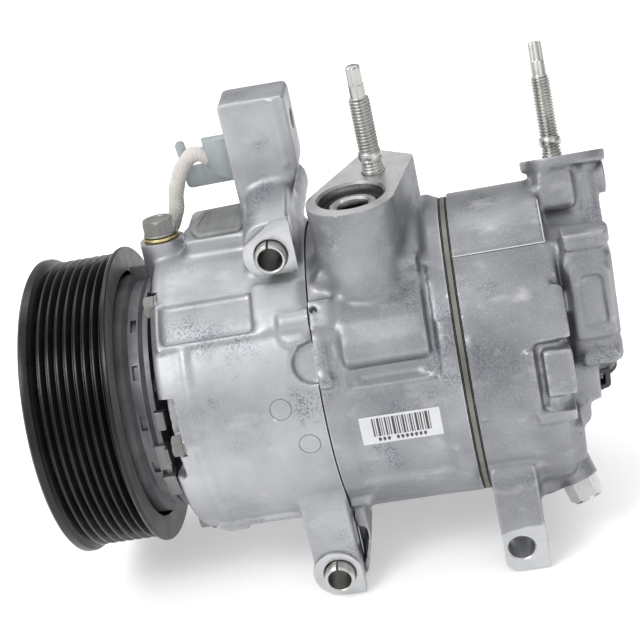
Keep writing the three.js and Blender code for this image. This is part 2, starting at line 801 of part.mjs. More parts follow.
const dischargeStud = add('discharge_stud', stud(42, 12.6), ZINC);
dischargeStud.position.set(DISCHARGE_STUD.x, DISCHARGE_STUD.y, PORT_Z);
const suctionFrame = new THREE.Group();
suctionFrame.rotation.x = -rad(SUCTION_TILT);
compressor.add(suctionFrame);
const suctionStud = add('suction_stud', stud(47, 14.5), ZINC, suctionFrame);
suctionStud.position.set(SUCTION_STUD.x, SUCTION_STUD.s, SUCTION_H);
const valveRing = cut(
  join(rodZ(-9.6, -8, 0, 0, 12, 32), rodZ(-13.6, -9, 0, 0, 9.4, 28)),
  rodZ(-20, 0, 0, 0, 5.6, 24),
);
const checkValve = add('check_valve', valveRing, STEEL);
checkValve.position.set(DISCHARGE.x, DISCHARGE.y, PORT_Z);

add('pulley', pulleyWheel(), BLACK_STEEL);
add('pulley_bearing_outer', ring(15, 34, 22.6, 25.6), STEEL);
add('pulley_bearing_inner', ring(21.6, 34, NOSE_R + GAP, 20), STEEL);
add('armature_plate', cut(ring(5.4, 11, 27, 52), ...each(3, (i) =>
  sector(4, 12, 38.6, 40.6, i * 120 + 60, i * 120 + 172, 10))), BLACK_STEEL);
add('clutch_hub', cut(
  turned([[6, 0], [6, 18], [8, 20], [8, 22], [11, 22], [11, 11], [22, 10], [22, 0]], 28),
  rodX(7.9, 30, 0, 0, 6.5, 24),
  rodX(4, 9, 0, 0, 4.4, 20),
), BLACK_STEEL);
add('hub_damper', ring(6.2, 10.6, 22.3, 26.7), RUBBER);
add('hub_bolt', join(hexHead(0, 4.6, 0, 0, 12), rodX(4, 5.7, 0, 0, 8.6, 24),
  rodX(5, 8.1, 0, 0, 4, 20)), STEEL);
add('drive_shaft', driveShaft(), STEEL);
add('lug_plate', lugPlate(), COATED);
add('destroke_spring', spring(73.5, 82.5, 9.6, 0.9, 3), STEEL);

const swash = add('swash_plate', swashPlate(), COATED);
swash.position.set(SWASH_X, 0, 0);

const crownX = BLOCK_END - 0.9 - SWASH_X;
pistonAngles.forEach((angle, i) => {
  const { y, z } = around(angle, PISTON_CIRCLE);
  const place = new THREE.Group();
  place.position.set(SWASH_X, y, z);
  place.rotation.x = Math.atan2(-y, z);
  compressor.add(place);
  add(`piston_${i + 1}`, piston(crownX), CAST, place);
  add(`shoe_${i + 1}_front`, shoe(-1), STEEL, place);
  add(`shoe_${i + 1}_rear`, shoe(1), STEEL, place);
});

export default compressor;
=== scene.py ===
"""Looks of a clutch-driven swash-plate air-conditioning compressor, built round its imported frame.

Shapes are worked out in millimetres in the frame's own axes: X runs along the drive shaft from
the hub bolt to the rear housing, Z is up and -Y is the side that the mounting bolts enter from.
"""
import json
from math import cos, pi, radians, sin, sqrt

import bmesh
import bpy
from mathutils import Matrix, Vector

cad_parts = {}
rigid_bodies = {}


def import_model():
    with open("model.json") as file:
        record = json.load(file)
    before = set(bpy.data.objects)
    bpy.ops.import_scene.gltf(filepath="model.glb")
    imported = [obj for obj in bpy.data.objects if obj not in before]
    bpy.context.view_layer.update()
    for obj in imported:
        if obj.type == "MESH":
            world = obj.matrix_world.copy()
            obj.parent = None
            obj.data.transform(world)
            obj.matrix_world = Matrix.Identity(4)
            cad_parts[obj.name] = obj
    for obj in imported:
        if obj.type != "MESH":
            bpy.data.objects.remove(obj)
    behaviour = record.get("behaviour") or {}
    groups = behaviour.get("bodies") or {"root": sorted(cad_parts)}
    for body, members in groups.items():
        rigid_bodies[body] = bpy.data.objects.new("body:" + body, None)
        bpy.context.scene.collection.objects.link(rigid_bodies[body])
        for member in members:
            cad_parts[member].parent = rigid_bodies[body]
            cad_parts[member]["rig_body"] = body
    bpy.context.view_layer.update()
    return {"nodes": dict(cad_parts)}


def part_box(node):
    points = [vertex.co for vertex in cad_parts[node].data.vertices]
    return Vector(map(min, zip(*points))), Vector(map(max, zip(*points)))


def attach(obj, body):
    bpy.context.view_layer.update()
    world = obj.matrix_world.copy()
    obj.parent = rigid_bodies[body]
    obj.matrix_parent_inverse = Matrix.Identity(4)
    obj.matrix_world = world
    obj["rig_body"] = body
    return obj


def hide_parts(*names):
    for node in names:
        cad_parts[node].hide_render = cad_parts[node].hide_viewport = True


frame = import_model()

MM = 0.001
TURN = 2 * pi


# ---- sizes taken from the frame
def span(node, axis):
    """Ends of a CAD node along one axis, in millimetres."""
    i = "xyz".index(axis)
    low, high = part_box(node)
    return low[i] / MM, high[i] / MM


def middle(node, axis):
    return sum(span(node, axis)) / 2


JOINT_X, BLOCK_END = span("cylinder_block", "x")
PORT_Z = span("cylinder_block", "z")[1]
REAR_X = span("rear_housing", "x")[0]
BODY_R = span("valve_plate", "y")[1] + 0.1
PULLEY_X = span("pulley", "x")
PULLEY_R = span("pulley", "y")[1]
SLEEVE_WALL = 0.75
SLEEVE_OUT = 4.6  # how far a mounting sleeve stands out of its ear
SLEEVE_X = span("upper_mount_sleeve", "x")
EAR_BORE_R = (SLEEVE_X[1] - SLEEVE_X[0]) / 2 - SLEEVE_WALL
UPPER_EAR = (middle("upper_mount_sleeve", "x"), middle("upper_mount_sleeve", "z"))
FRONT_EAR = (middle("lower_mount_sleeve", "x"), middle("lower_mount_sleeve", "z"))
REAR_EAR = (178.4, FRONT_EAR[1])
UPPER_PAD_Y = span("upper_mount_sleeve", "y")[0] + SLEEVE_OUT
EAR_Y = -(span("lower_mount_sleeve", "y")[0] + SLEEVE_OUT)
EAR_PAD_R = 10.6
FRONT_X = JOINT_X - 61.4
DISCHARGE = (middle("check_valve", "x"), middle("check_valve", "y"))
DISCHARGE_R = 12.3
DISCHARGE_STUD = (middle("discharge_stud", "x"), middle("discharge_stud", "y"))
SUCTION_TILT = 22  # degrees from Z towards +Y
SUCTION_H = 66.8  # shaft axis to port face
SUCTION = (217.5, -9)
SUCTION_R = 10.8
SUCTION_STUD = (middle("suction_stud", "x"), 12)
BOSS_H = SUCTION_H - 10.4  # the dimpled boss behind the suction port
STUD_BORE_R = 4.3
BOLT_CIRCLE = 54
BOLT_PHASE = 4
BORE_R = 13.5
PISTON_CIRCLE = 33
VALVE = (215.4, -27)  # axis of the control valve, upright
VALVE_LOW, VALVE_HIGH = 2.2, 50
NOSE_R = 17.2
FILL_X = middle("fill_plug", "x") - 1.4
FILL_ANGLE = 96
FILL_SEAT = 64.1
RELIEF_AT = Vector((204.6, -29, -53.6))
RELIEF_OUT = Vector((0.31, -0.46, -0.83)).normalized()

# Camera: where it stands, the way it looks and how much it is rolled.
CAMERA_AT = (192.34, -533.69, 280.59)
CAMERA_ANGLES = (8.42, 25.77, -12.95)  # azimuth, elevation and roll
CAMERA_LENS = 84.12
FLOOR_Z = -76.5


# ---- shape helpers
def around(angle, r):
    """(y, z) of a point r from the shaft: 0 degrees is -Y, 90 degrees is +Z."""
    a = radians(angle)
    return -r * cos(a), r * sin(a)


def outward(angle):
    return Vector((0, *around(angle, 1)))


def added(name, data):
    obj = bpy.data.objects.new(name, data)
    bpy.context.scene.collection.objects.link(obj)
    return obj


def solid(points, faces):
    mesh = bpy.data.meshes.new("solid")
    mesh.from_pydata([Vector(p) * MM for p in points], [], faces)
    bm = bmesh.new()
    bm.from_mesh(mesh)
    bmesh.ops.remove_doubles(bm, verts=bm.verts, dist=1e-7)
    bmesh.ops.recalc_face_normals(bm, faces=bm.faces)
    bm.to_mesh(mesh)
    bm.free()
    return added("solid", mesh)


def frame_about(origin, axis):
    """Turns +X onto an axis and moves it to an origin."""
    turn = Vector((1, 0, 0)).rotation_difference(Vector(axis)).to_matrix().to_4x4()
    return Matrix.Translation(Vector(origin)) @ turn


def lathe(profile, sides=128, origin=(0, 0, 0), axis=(1, 0, 0)):
    """Spins (along, radius) points about an axis; a ring's profile closes on itself."""
    place = frame_about(origin, axis)
    points, rings, faces = [], [], []
    for along, radius in profile:
        count = sides if radius > 0 else 1
        rings.append([len(points) + i for i in range(count)])
        for i in range(count):
            a = TURN * i / sides
            points.append(place @ Vector((along, radius * cos(a), radius * sin(a))))
    pairs = list(zip(rings, rings[1:]))
    if profile[0][1] > 0:
        pairs.append((rings[-1], rings[0]))
    for near, far in pairs:
        for i in range(sides):
            j = (i + 1) % sides
            corners = [near[i % len(near)], near[j % len(near)], far[j % len(far)], far[i % len(far)]]
            corners = list(dict.fromkeys(corners))
            if len(corners) > 2:
                faces.append(corners)
    return solid(points, faces)


def spun(profile, *place):
    """A solid turned shape, whose profile is closed along the axis."""
    return lathe([(profile[0][0], 0), *profile, (profile[-1][0], 0)], *place)


def disc(x0, x1, r, sides=128):
    return spun([(x0, r), (x1, r)], sides)


def ring(x0, x1, inner, outer, sides=128):
    return lathe([(x0, inner), (x0, outer), (x1, outer), (x1, inner)], sides)


def rod(start, end, r, sides=48, tip=None):
    start, end = Vector(start), Vector(end)
    length = (end - start).length
    return spun([(0, r), (length, tip or r)], sides, start, end - start)


def rod_x(x0, x1, y, z, r, sides=48):
    return rod((x0, y, z), (x1, y, z), r, sides)


def rod_y(y0, y1, x, z, r, sides=48):
    return rod((x, y0, z), (x, y1, z), r, sides)


def rod_z(z0, z1, x, y, r):
    return rod((x, y, z0), (x, y, z1), r)


def boss(x0, x1, angle, out, r, sides=48):
    """A round bar along X whose axis is `out` from the shaft."""
    return rod_x(x0, x1, *around(angle, out), r, sides)


def spoke(x, angle, low, high, r, sides=32):
    """A round bar pointing straight out from the shaft."""
    return rod((x, *around(angle, low)), (x, *around(angle, high)), r, sides)


def rounded(corners, steps=6):
    """An outline whose (u, v, radius) corners are rounded; (u, v) corners stay sharp."""
    outline = []
    for i, (u, v, *radius) in enumerate(corners):
        if not radius:
            outline.append((u, v))
            continue
        here = Vector((u, v))
        before, after = ((Vector(corners[k][:2]) - here).normalized() * radius[0]
                         for k in (i - 1, (i + 1) % len(corners)))
        for k in range(steps + 1):
            t = k / steps
            outline.append(tuple(here + before * (1 - t) ** 2 + after * t * t))
    return outline


def prism(corners, axis, low, high):
    """Extrudes an outline along an axis; its corners are in the two other axes, in order."""
    place = {
        "x": lambda u, v, w: (w, u, v),
        "y": lambda u, v, w: (u, w, v),
        "z": lambda u, v, w: (u, v, w),
    }[axis]
    outline = rounded(corners)
    n = len(outline)
    points = [place(u, v, w) for w in (low, high) for u, v in outline]
    faces = [list(range(n)), list(range(n, 2 * n))]
    faces += [[i, (i + 1) % n, n + (i + 1) % n, n + i] for i in range(n)]
    return solid(points, faces)


def block(x0, x1, y0, y1, z0, z1, *radius):
    """A block whose edges along Y may be rounded."""
    return prism([(x, z, *radius) for x, z in ((x0, z0), (x1, z0), (x1, z1), (x0, z1))], "y", y0, y1)


def mirrored(corners, low, high):
    """Two prisms along Y, one on each side of the shaft."""
    return [prism(corners, "y", -high, -low), prism(corners, "y", low, high)]


def arc(x, y, r, start, end, steps=24):
    """Points along an arc, angles in degrees."""
    angles = [radians(start + (end - start) * i / steps) for i in range(steps + 1)]
    return [(x + r * cos(a), y + r * sin(a)) for a in angles]


def wave(x0, x1, crown, inner=50):
    """A solid along X whose top follows (angle, radius) points round the shaft."""
    outline = [around(a, r) for a, r in crown]
    return prism(outline + [around(a, inner) for a, _ in reversed(crown)], "x", x0, x1)


def sector(x0, x1, inner, outer, low, high, steps=16):
    """A wedge of a ring between two directions round the shaft."""
    return wave(x0, x1, [(low + (high - low) * i / steps, outer) for i in range(steps + 1)], inner)


def skinned(rings):
    """A closed bar through rings with equal numbers of points."""
    sides = len(rings[0])
    faces = [[k * sides + i for i in range(sides)] for k in (0, len(rings) - 1)]
    for k in range(len(rings) - 1):
        for i in range(sides):
            j = (i + 1) % sides
            faces.append([k * sides + i, k * sides + j, (k + 1) * sides + j, (k + 1) * sides + i])
    return solid([point for points in rings for point in points], faces)


def leaned(obj):
    """Tilts an upright solid as the suction port is, towards +Y."""
    obj.data.transform(Matrix.Rotation(-radians(SUCTION_TILT), 4, "X"))
    return obj


def sheared(corners, y0, y1, rise):
    """A prism along Y that climbs by `rise` on the way."""
    obj = prism(corners, "y", y0, y1)
    for vertex in obj.data.vertices:
        vertex.co.z += rise * MM * (vertex.co.y / MM - y0) / (y1 - y0)
    return obj


# ---- joining, casting and machining
def discard(obj):
    mesh = obj.data
    bpy.data.objects.remove(obj)
    bpy.data.meshes.remove(mesh)


def joined(name, parts):
    """One object holding the meshes of several."""
    bm = bmesh.new()
    for part in parts:
        bm.from_mesh(part.data)
        discard(part)
    mesh = bpy.data.meshes.new(name)
    bm.to_mesh(mesh)
    bm.free()
    return added(name, mesh)


def modify(obj, kind, **settings):
    modifier = obj.modifiers.new(kind, kind)
    for name, value in settings.items():
        setattr(modifier, name, value)


def reshape(obj, kind, **settings):
    """Applies one modifier to an object's mesh."""
    modify(obj, kind, **settings)
    graph = bpy.context.evaluated_depsgraph_get()
    graph.update()
    mesh = bpy.data.meshes.new_from_object(obj.evaluated_get(graph))
    old = obj.data
    obj.modifiers.clear()
    obj.data = mesh
    mesh.name = obj.name
    bpy.data.meshes.remove(old)
    return obj


def remeshed(obj, voxel):
    return reshape(obj, "REMESH", mode="VOXEL", voxel_size=voxel * MM)


def smoothed(obj, passes):
    return reshape(obj, "SMOOTH", factor=0.5, iterations=passes)


def bevelled(obj, width):
    return reshape(obj, "BEVEL", width=width * MM, segments=2, limit_method="ANGLE",
                   angle_limit=radians(30))


def carve(obj, tools, operation="DIFFERENCE"):
    """Cuts tools out of an object, or joins them; new faces take the tools' materials."""
    group = bpy.data.collections.new("tools")
    bpy.context.scene.collection.children.link(group)
    for tool in tools:
        bpy.context.scene.collection.objects.unlink(tool)
        group.objects.link(tool)
    reshape(obj, "BOOLEAN", operation=operation, solver="MANIFOLD", operand_type="COLLECTION",
            collection=group, material_mode="TRANSFER")
    for tool in tools:
        discard(tool)
    bpy.data.collections.remove(group)
    return obj


def weld(obj, *tools):
    return carve(obj, tools, "UNION")


def painted(look, *parts):
    for part in parts:
        part.data.materials.clear()
        part.data.materials.append(look)
    return list(parts)


FILLET_VOXEL, FILLET_PASSES = 1.2, 16
SKIN_VOXEL, SKIN_PASSES = 0.88, 5


def casting(name, soft, parts, hollows, look):
    """Fuses solids into one skin: wide fillets round `soft`, tight ones round the rest."""
    base = smoothed(remeshed(joined("soft", soft), FILLET_VOXEL), FILLET_PASSES)
    obj = remeshed(joined(name, [base, *parts]), SKIN_VOXEL)
    smoothed(remeshed(carve(obj, hollows), SKIN_VOXEL), SKIN_PASSES)
    return painted(look, obj)[0]


def shaded(obj, sharp=32):
    obj.data.shade_smooth()
    obj.data.set_sharp_from_angle(angle=radians(sharp))


def finish(obj, name, node=None, look=None, body="housing", sharp=32):
    """Names, paints and smooths a piece, attaches it to its CAD body and hides the CAD node it stands for.
    """
    obj.name = obj.data.name = name
    if look:
        painted(look, obj)
    shaded(obj, sharp)
    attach(obj, frame["nodes"][node]["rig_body"] if node else body)
    if node:
        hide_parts(node)


# ---- materials
def add_node(tree, kind, **inputs):
    """A shader node whose inputs are sockets to link or constants; _ stands for a space."""
    new = tree.nodes.new("ShaderNode" + kind)
    for name, value in inputs.items():
        feed(tree, new.inputs[name.replace("_", " ")], value)
    return new


def feed(tree, socket, value):
    if isinstance(value, bpy.types.NodeSocket):
        tree.links.new(value, socket)
    else:
        socket.default_value = value


class Look:
    """A procedural metal or plastic: mottled colour, varied roughness and fine relief."""

    def __init__(self, name, dark, light, metallic, rough, mottle=18, seed=0.0):
        self.material = bpy.data.materials.new(name)
        self.material.use_nodes = True
        self.tree = self.material.node_tree
        self.shader = self.tree.nodes["Principled BSDF"]
        self.shader.inputs["Metallic"].default_value = metallic
        self.place = self.node("TexCoord").outputs["Object"]
        self.seed = seed
        self.colour = self.mix(self.noise(mottle, detail=5, seed=1.7), dark, light, 0.3, 0.7)
        self.roughness = self.scaled(self.noise(mottle * 0.45, detail=4, seed=5.1), *rough)
        self.normal = {}

    def node(self, kind, **inputs):
        return add_node(self.tree, kind, **inputs)

    def moved(self, scale=(1, 1, 1), turn=(0, 0, 0), seed=0.0):
        shift = (self.seed + seed, seed * 0.7, seed * 0.3)
        mapping = self.node("Mapping", Vector=self.place, Scale=scale, Rotation=turn, Location=shift)
        return mapping.outputs["Vector"]

    def noise(self, size, detail=3, scale=(1, 1, 1), seed=0.0):
        """Noise whose features are about `size` millimetres across."""
        place = self.moved(scale, seed=seed)
        return self.node("TexNoise", Vector=place, Scale=1 / (size * MM), Detail=detail).outputs["Fac"]

    def scaled(self, value, low, high, start=0.3, end=0.7):
        ends = {"From_Min": start, "From_Max": end, "To_Min": low, "To_Max": high}
        return self.node("MapRange", Value=value, **ends).outputs["Result"]

    def mix(self, value, dark, light, start, end):
        """A colour between two, each a socket or (r, g, b)."""
        mixer = self.node("Mix")
        mixer.data_type = "RGBA"
        feed(self.tree, mixer.inputs["Factor"], self.scaled(value, 0, 1, start, end))
        for name, tone in (("A", dark), ("B", light)):
            socket = [i for i in mixer.inputs if i.name == name and i.type == "RGBA"][0]
            feed(self.tree, socket, (*tone, 1) if isinstance(tone, tuple) else tone)
        return [o for o in mixer.outputs if o.type == "RGBA"][0]

    def times(self, a, b):
        product = self.node("Math")
        product.operation = "MULTIPLY"
        feed(self.tree, product.inputs[0], a)
        feed(self.tree, product.inputs[1], b)
        return product.outputs[0]

    def tint(self, value, tone, start, end):
        self.colour = self.mix(value, self.colour, tone, start, end)

    def relief(self, height, strength, depth):
        """Bump of `depth` millimetres, on top of the bumps made before it."""
        bump = self.node("Bump", Height=height, Strength=strength, Distance=depth * MM, **self.normal)
        self.normal = {"Normal": bump.outputs["Normal"]}

    def done(self):
        sockets = {"Base Color": self.colour, "Roughness": self.roughness, **self.normal}
        for name, value in sockets.items():
            feed(self.tree, self.shader.inputs[name], value)
        return self.material


def cast(name, dark, light, seed=0.0):
    """Die-cast aluminium: soft mottling, shot-blast specks in patches, edges lightened for wear and as
    painted highlight, creases darkened as painted shade.
    """
    look = Look(name, dark, light, 0.92, (0.4, 0.56), mottle=26, seed=seed)
    specks = look.scaled(look.noise(0.8, seed=3.3), 0, 1, 0.47, 0.6)
    areas = look.scaled(look.noise(24, detail=5, seed=9.2), 0, 1, 0.55, 0.66)
    look.tint(look.times(specks, areas), (0.11, 0.12, 0.155), 0, 1.4)
    stains = look.noise(8, detail=6, scale=(0.6, 1, 1), seed=12.4)
    look.tint(stains, (0.5, 0.5, 0.49), 0.58, 0.9)
    look.tint(look.noise(0.5, detail=2, seed=6.6), (0.6, 0.61, 0.63), 0.53, 1.3)
    point = look.node("NewGeometry").outputs["Pointiness"]
    # painted highlight, with some wear: convex edges lightened
    look.tint(point, (0.64, 0.645, 0.66), 0.515, 0.64)
    # painted shade: creases and inner corners darkened
    look.tint(look.scaled(point, 1, 0, 0.44, 0.5), (0.22, 0.225, 0.235), 0, 1.8)
    look.relief(look.noise(5, seed=7.7), 0.3, 0.35)
    look.relief(look.noise(0.55, seed=2.9), 0.2, 0.12)
    return look.done()


def turned(name, dark, light, metallic, rough, pitch=0.35, axis=0):
    """Metal with the fine lines of a cutter, closest along one axis."""
    look = Look(name, dark, light, metallic, rough, mottle=12)
    squeeze = [0.04, 0.04, 0.04]
    squeeze[axis] = 1
    lines = look.noise(pitch, detail=2, scale=squeeze, seed=4.4)
    look.tint(lines, tuple(0.75 * c for c in dark), 0.55, 0.95)
    look.relief(lines, 0.12, 0.05)
    return look.done()


def moulded(name, dark, light, rough, grain=0.4, depth=0.06):
    """Rubber or moulded plastic with a fine spark-eroded grain."""
    look = Look(name, dark, light, 0, rough, mottle=9)
    look.relief(look.noise(grain, seed=3.1), 0.35, depth)
    return look.done()


def woven(name, dark, light):
    """A braided sleeve: two sets of crossing threads, darker in the valleys between them."""
    look = Look(name, dark, light, 0, (0.72, 0.86), mottle=6)
    threads = look.times(*[
        look.node("TexWave", Vector=look.moved(turn=(0.3, turn, 0.4)), Scale=1 / (2.4 * MM),
                  Distortion=0.6, Detail=1).outputs["Fac"]
        for turn in (0.9, -0.9)
    ])
    look.tint(look.scaled(threads, 1, 0, 0, 0.5), tuple(0.78 * c for c in dark), 0.3, 1.2)
    look.relief(threads, 0.5, 0.25)
    return look.done()


CAST = cast("die_cast", (0.31, 0.318, 0.334), (0.45, 0.457, 0.475))
# the block and rear housing take darker copies of the die-cast look: painted shade
CAST_BLOCK_SHADED = cast("die_cast_block_shaded", (0.22, 0.227, 0.242), (0.335, 0.342, 0.36), seed=2.0)
CAST_REAR_SHADED = cast("die_cast_rear_shaded", (0.2, 0.206, 0.22), (0.315, 0.321, 0.336), seed=4.0)
MACHINED = turned("machined_aluminium", (0.47, 0.478, 0.49), (0.58, 0.588, 0.6), 0.9, (0.3, 0.42), axis=2)
FACED = turned("faced_aluminium", (0.7, 0.705, 0.71), (0.82, 0.825, 0.83), 1, (0.26, 0.36))
# bore walls in a darker turned aluminium: painted shade
BORED_SHADED = turned("bored_aluminium_shaded", (0.3, 0.302, 0.305), (0.44, 0.442, 0.445), 1, (0.24, 0.36), axis=1)
# a darker copy of the die-cast look for cavities and bores inside the castings: painted shade
INNER_CAST_SHADED = cast("inner_casting_shaded", (0.2, 0.2, 0.205), (0.3, 0.3, 0.305), seed=7.0)
STEEL = turned("ground_steel", (0.5, 0.5, 0.5), (0.64, 0.64, 0.64), 1, (0.2, 0.32))
ZINC = turned("zinc_plate", (0.42, 0.425, 0.4), (0.6, 0.605, 0.58), 1, (0.24, 0.4), pitch=0.8)
DULL_ZINC = turned("dull_zinc", (0.26, 0.262, 0.25), (0.38, 0.382, 0.365), 0.95, (0.38, 0.52), pitch=1.2)
BRASS = turned("yellow_washer", (0.5, 0.42, 0.2), (0.62, 0.53, 0.29), 1, (0.28, 0.4))
BLACK = turned("black_coating", (0.004, 0.004, 0.005), (0.01, 0.01, 0.011), 0.3, (0.24, 0.36), pitch=0.5)
# a lighter black for the pulley's rear rim face: painted sheen
RIM_SHEEN = turned("black_painted_sheen", (0.13, 0.13, 0.131), (0.19, 0.19, 0.192), 0.5, (0.42, 0.55), pitch=0.5)
COIL = turned("coil_coating", (0.09, 0.092, 0.1), (0.18, 0.183, 0.19), 0.7, (0.36, 0.52), pitch=1.5)
BOLT = turned("bolt_coat", (0.17, 0.172, 0.166), (0.26, 0.262, 0.252), 0.9, (0.4, 0.52), pitch=1.2)
OLIVE = turned("olive_coat", (0.13, 0.135, 0.115), (0.2, 0.205, 0.18), 0.7, (0.36, 0.5))
GASKET = turned("gasket", (0.03, 0.031, 0.03), (0.06, 0.061, 0.058), 0.1, (0.55, 0.7))
IRON = turned("machined_iron", (0.16, 0.16, 0.165), (0.24, 0.24, 0.245), 0.9, (0.38, 0.5))
SPRING = turned("spring_strip", (0.5, 0.5, 0.5), (0.62, 0.62, 0.62), 1, (0.22, 0.34))
BRACKET = turned("bracket_plate", (0.34, 0.375, 0.385), (0.44, 0.475, 0.485), 0.6, (0.4, 0.55), pitch=3)
SHELF = turned("shelf_plate", (0.27, 0.28, 0.27), (0.36, 0.37, 0.36), 0.7, (0.4, 0.55), pitch=3)
PISTON = turned("piston_skirt", (0.42, 0.425, 0.43), (0.56, 0.565, 0.57), 0.95, (0.3, 0.42))
RUBBER = moulded("rubber", (0.014, 0.014, 0.015), (0.03, 0.03, 0.031), (0.62, 0.8))
PLASTIC = moulded("moulded_plastic", (0.018, 0.018, 0.02), (0.035, 0.035, 0.038), (0.4, 0.55))
SLEEVE = woven("braid", (0.6, 0.57, 0.54), (0.76, 0.73, 0.7))
PAPER = moulded("label_paper", (0.54, 0.545, 0.56), (0.6, 0.605, 0.62), (0.35, 0.45), 0.2, 0.01)
INK = moulded("label_ink", (0.03, 0.03, 0.035), (0.06, 0.06, 0.065), (0.4, 0.5), 0.2, 0.01)


# ---- castings
PASSAGE = around(42, 51.5)  # the discharge passage, beside the shaft


def bolt_axis(i):
    return around(BOLT_PHASE + 60 * i, BOLT_CIRCLE)


def bolt_seat(i):
    """Where a through bolt's head sits; the first one is sunk in the rim's notch."""
    return 61.6 if i == 0 else 57.6


def bolt_holes(x0, x1):
    return [rod_x(x0, x1, *bolt_axis(i), 3.3, 24) for i in range(6)]


def eye(x, z, low, high, r):
    """A cutter for a bore along Y with a chamfer at both mouths."""
    chamfer, length = 0.5, high - low
    flare = r + chamfer + 1
    profile = [(-1, flare), (chamfer, r), (length - chamfer, r), (length + 1, flare)]
    return spun(profile, 48, (x, low, z), (0, 1, 0))


def bore_cutter(x, y, top, depth, r, chamfer, sides):
    """A cutter for a bore down from a face at height `top`, chamfered at its mouth."""
    return spun([(-depth, r), (-chamfer, r), (1, r + chamfer + 1)], sides, (x, y, top), (0, 0, 1))


def lower_leg(ear, top, to_left, to_right, corner):
    """A mounting leg's outline, seen along Y, with its left corner rounded."""
    x, z = ear
    foot = z - EAR_PAD_R
    left = x - to_left
    turn = arc(left + corner, foot + corner, corner, 180, 270, 12)
    return [(left, top), *turn, (x + to_right, foot), (x + to_right, top)]


def leg_face(ear, to_left, to_right, corner):
    """The machined lower end of a leg, with an arched top."""
    x, z = ear
    face = lower_leg(ear, z + 6.4, to_left + 2, to_right + 2, corner)
    return face[:-1] + [(x + to_right + 2, z + 10.2), (x + 2, z + 10.4), (x - 5, z + 9)]


def relief_rod(low, high, r):
    return rod(RELIEF_AT + low * RELIEF_OUT, RELIEF_AT + high * RELIEF_OUT, r)


def fill_rod(low, high, r):
    return spoke(FILL_X, FILL_ANGLE, low, high, r, 48)


def ejector_mark(x, angle):
    """A cutter for the shallow ring that an ejector pin leaves on a casting."""
    start = (x, *around(angle, BODY_R - 0.3))
    return lathe([(0, 3.75), (0, 4.25), (3, 4.9), (3, 3.1)], 40, start, outward(angle))


def front_pad():
    """The upper ear's machined face: round below and to the left, square to the right."""
    x, z = UPPER_EAR
    corner = rounded([(x + 3, z + 13.2), (x + 9.2, z + 12.8, 1), (x + 9, z - 10.4, 3)])
    return arc(x, z, EAR_PAD_R, 272, 150) + corner


def front_shapes():
    """The upper mount with its tower and the legs' roots, which meet in wide fillets."""
    ux, uz = UPPER_EAR
    tower = [(92.6, 40), (92.8, 115.2, 2), (118.8, 114.6, 2), (118.6, 86, 2), (112.6, 71, 2), (112.6, 40)]
    tongue = [(ux - 10, 44), (ux - 10, uz + 12.6, 11), (113, uz + 12.8, 1.5), (113, 44)]
    gusset = [(19, 50), (19, 100, 4), (EAR_Y - 8, 68, 3), (EAR_Y - 8, 45)]
    leg = lower_leg(FRONT_EAR, -24, EAR_PAD_R - 1, 8.6, 9.6)
    return [
        rod_y(UPPER_PAD_Y + 1.6, EAR_Y, ux, uz, EAR_PAD_R - 0.6, 64),
        sheared(tongue, UPPER_PAD_Y + 1.6, 3, 9), prism(tower, "y", -0.4, 19.8),
        prism(gusset, "x", 98, 106), *mirrored(leg, 35, EAR_Y - 1.2),
        block(97, 103, -36, 36, -62, -40),
        prism([(68.4, -6.5, 3), (94, -7), (94, 26), (68.4, 26, 3)], "z", 44, 65.5),
        fill_rod(44, FILL_SEAT - 0.5, 7.6),
    ]


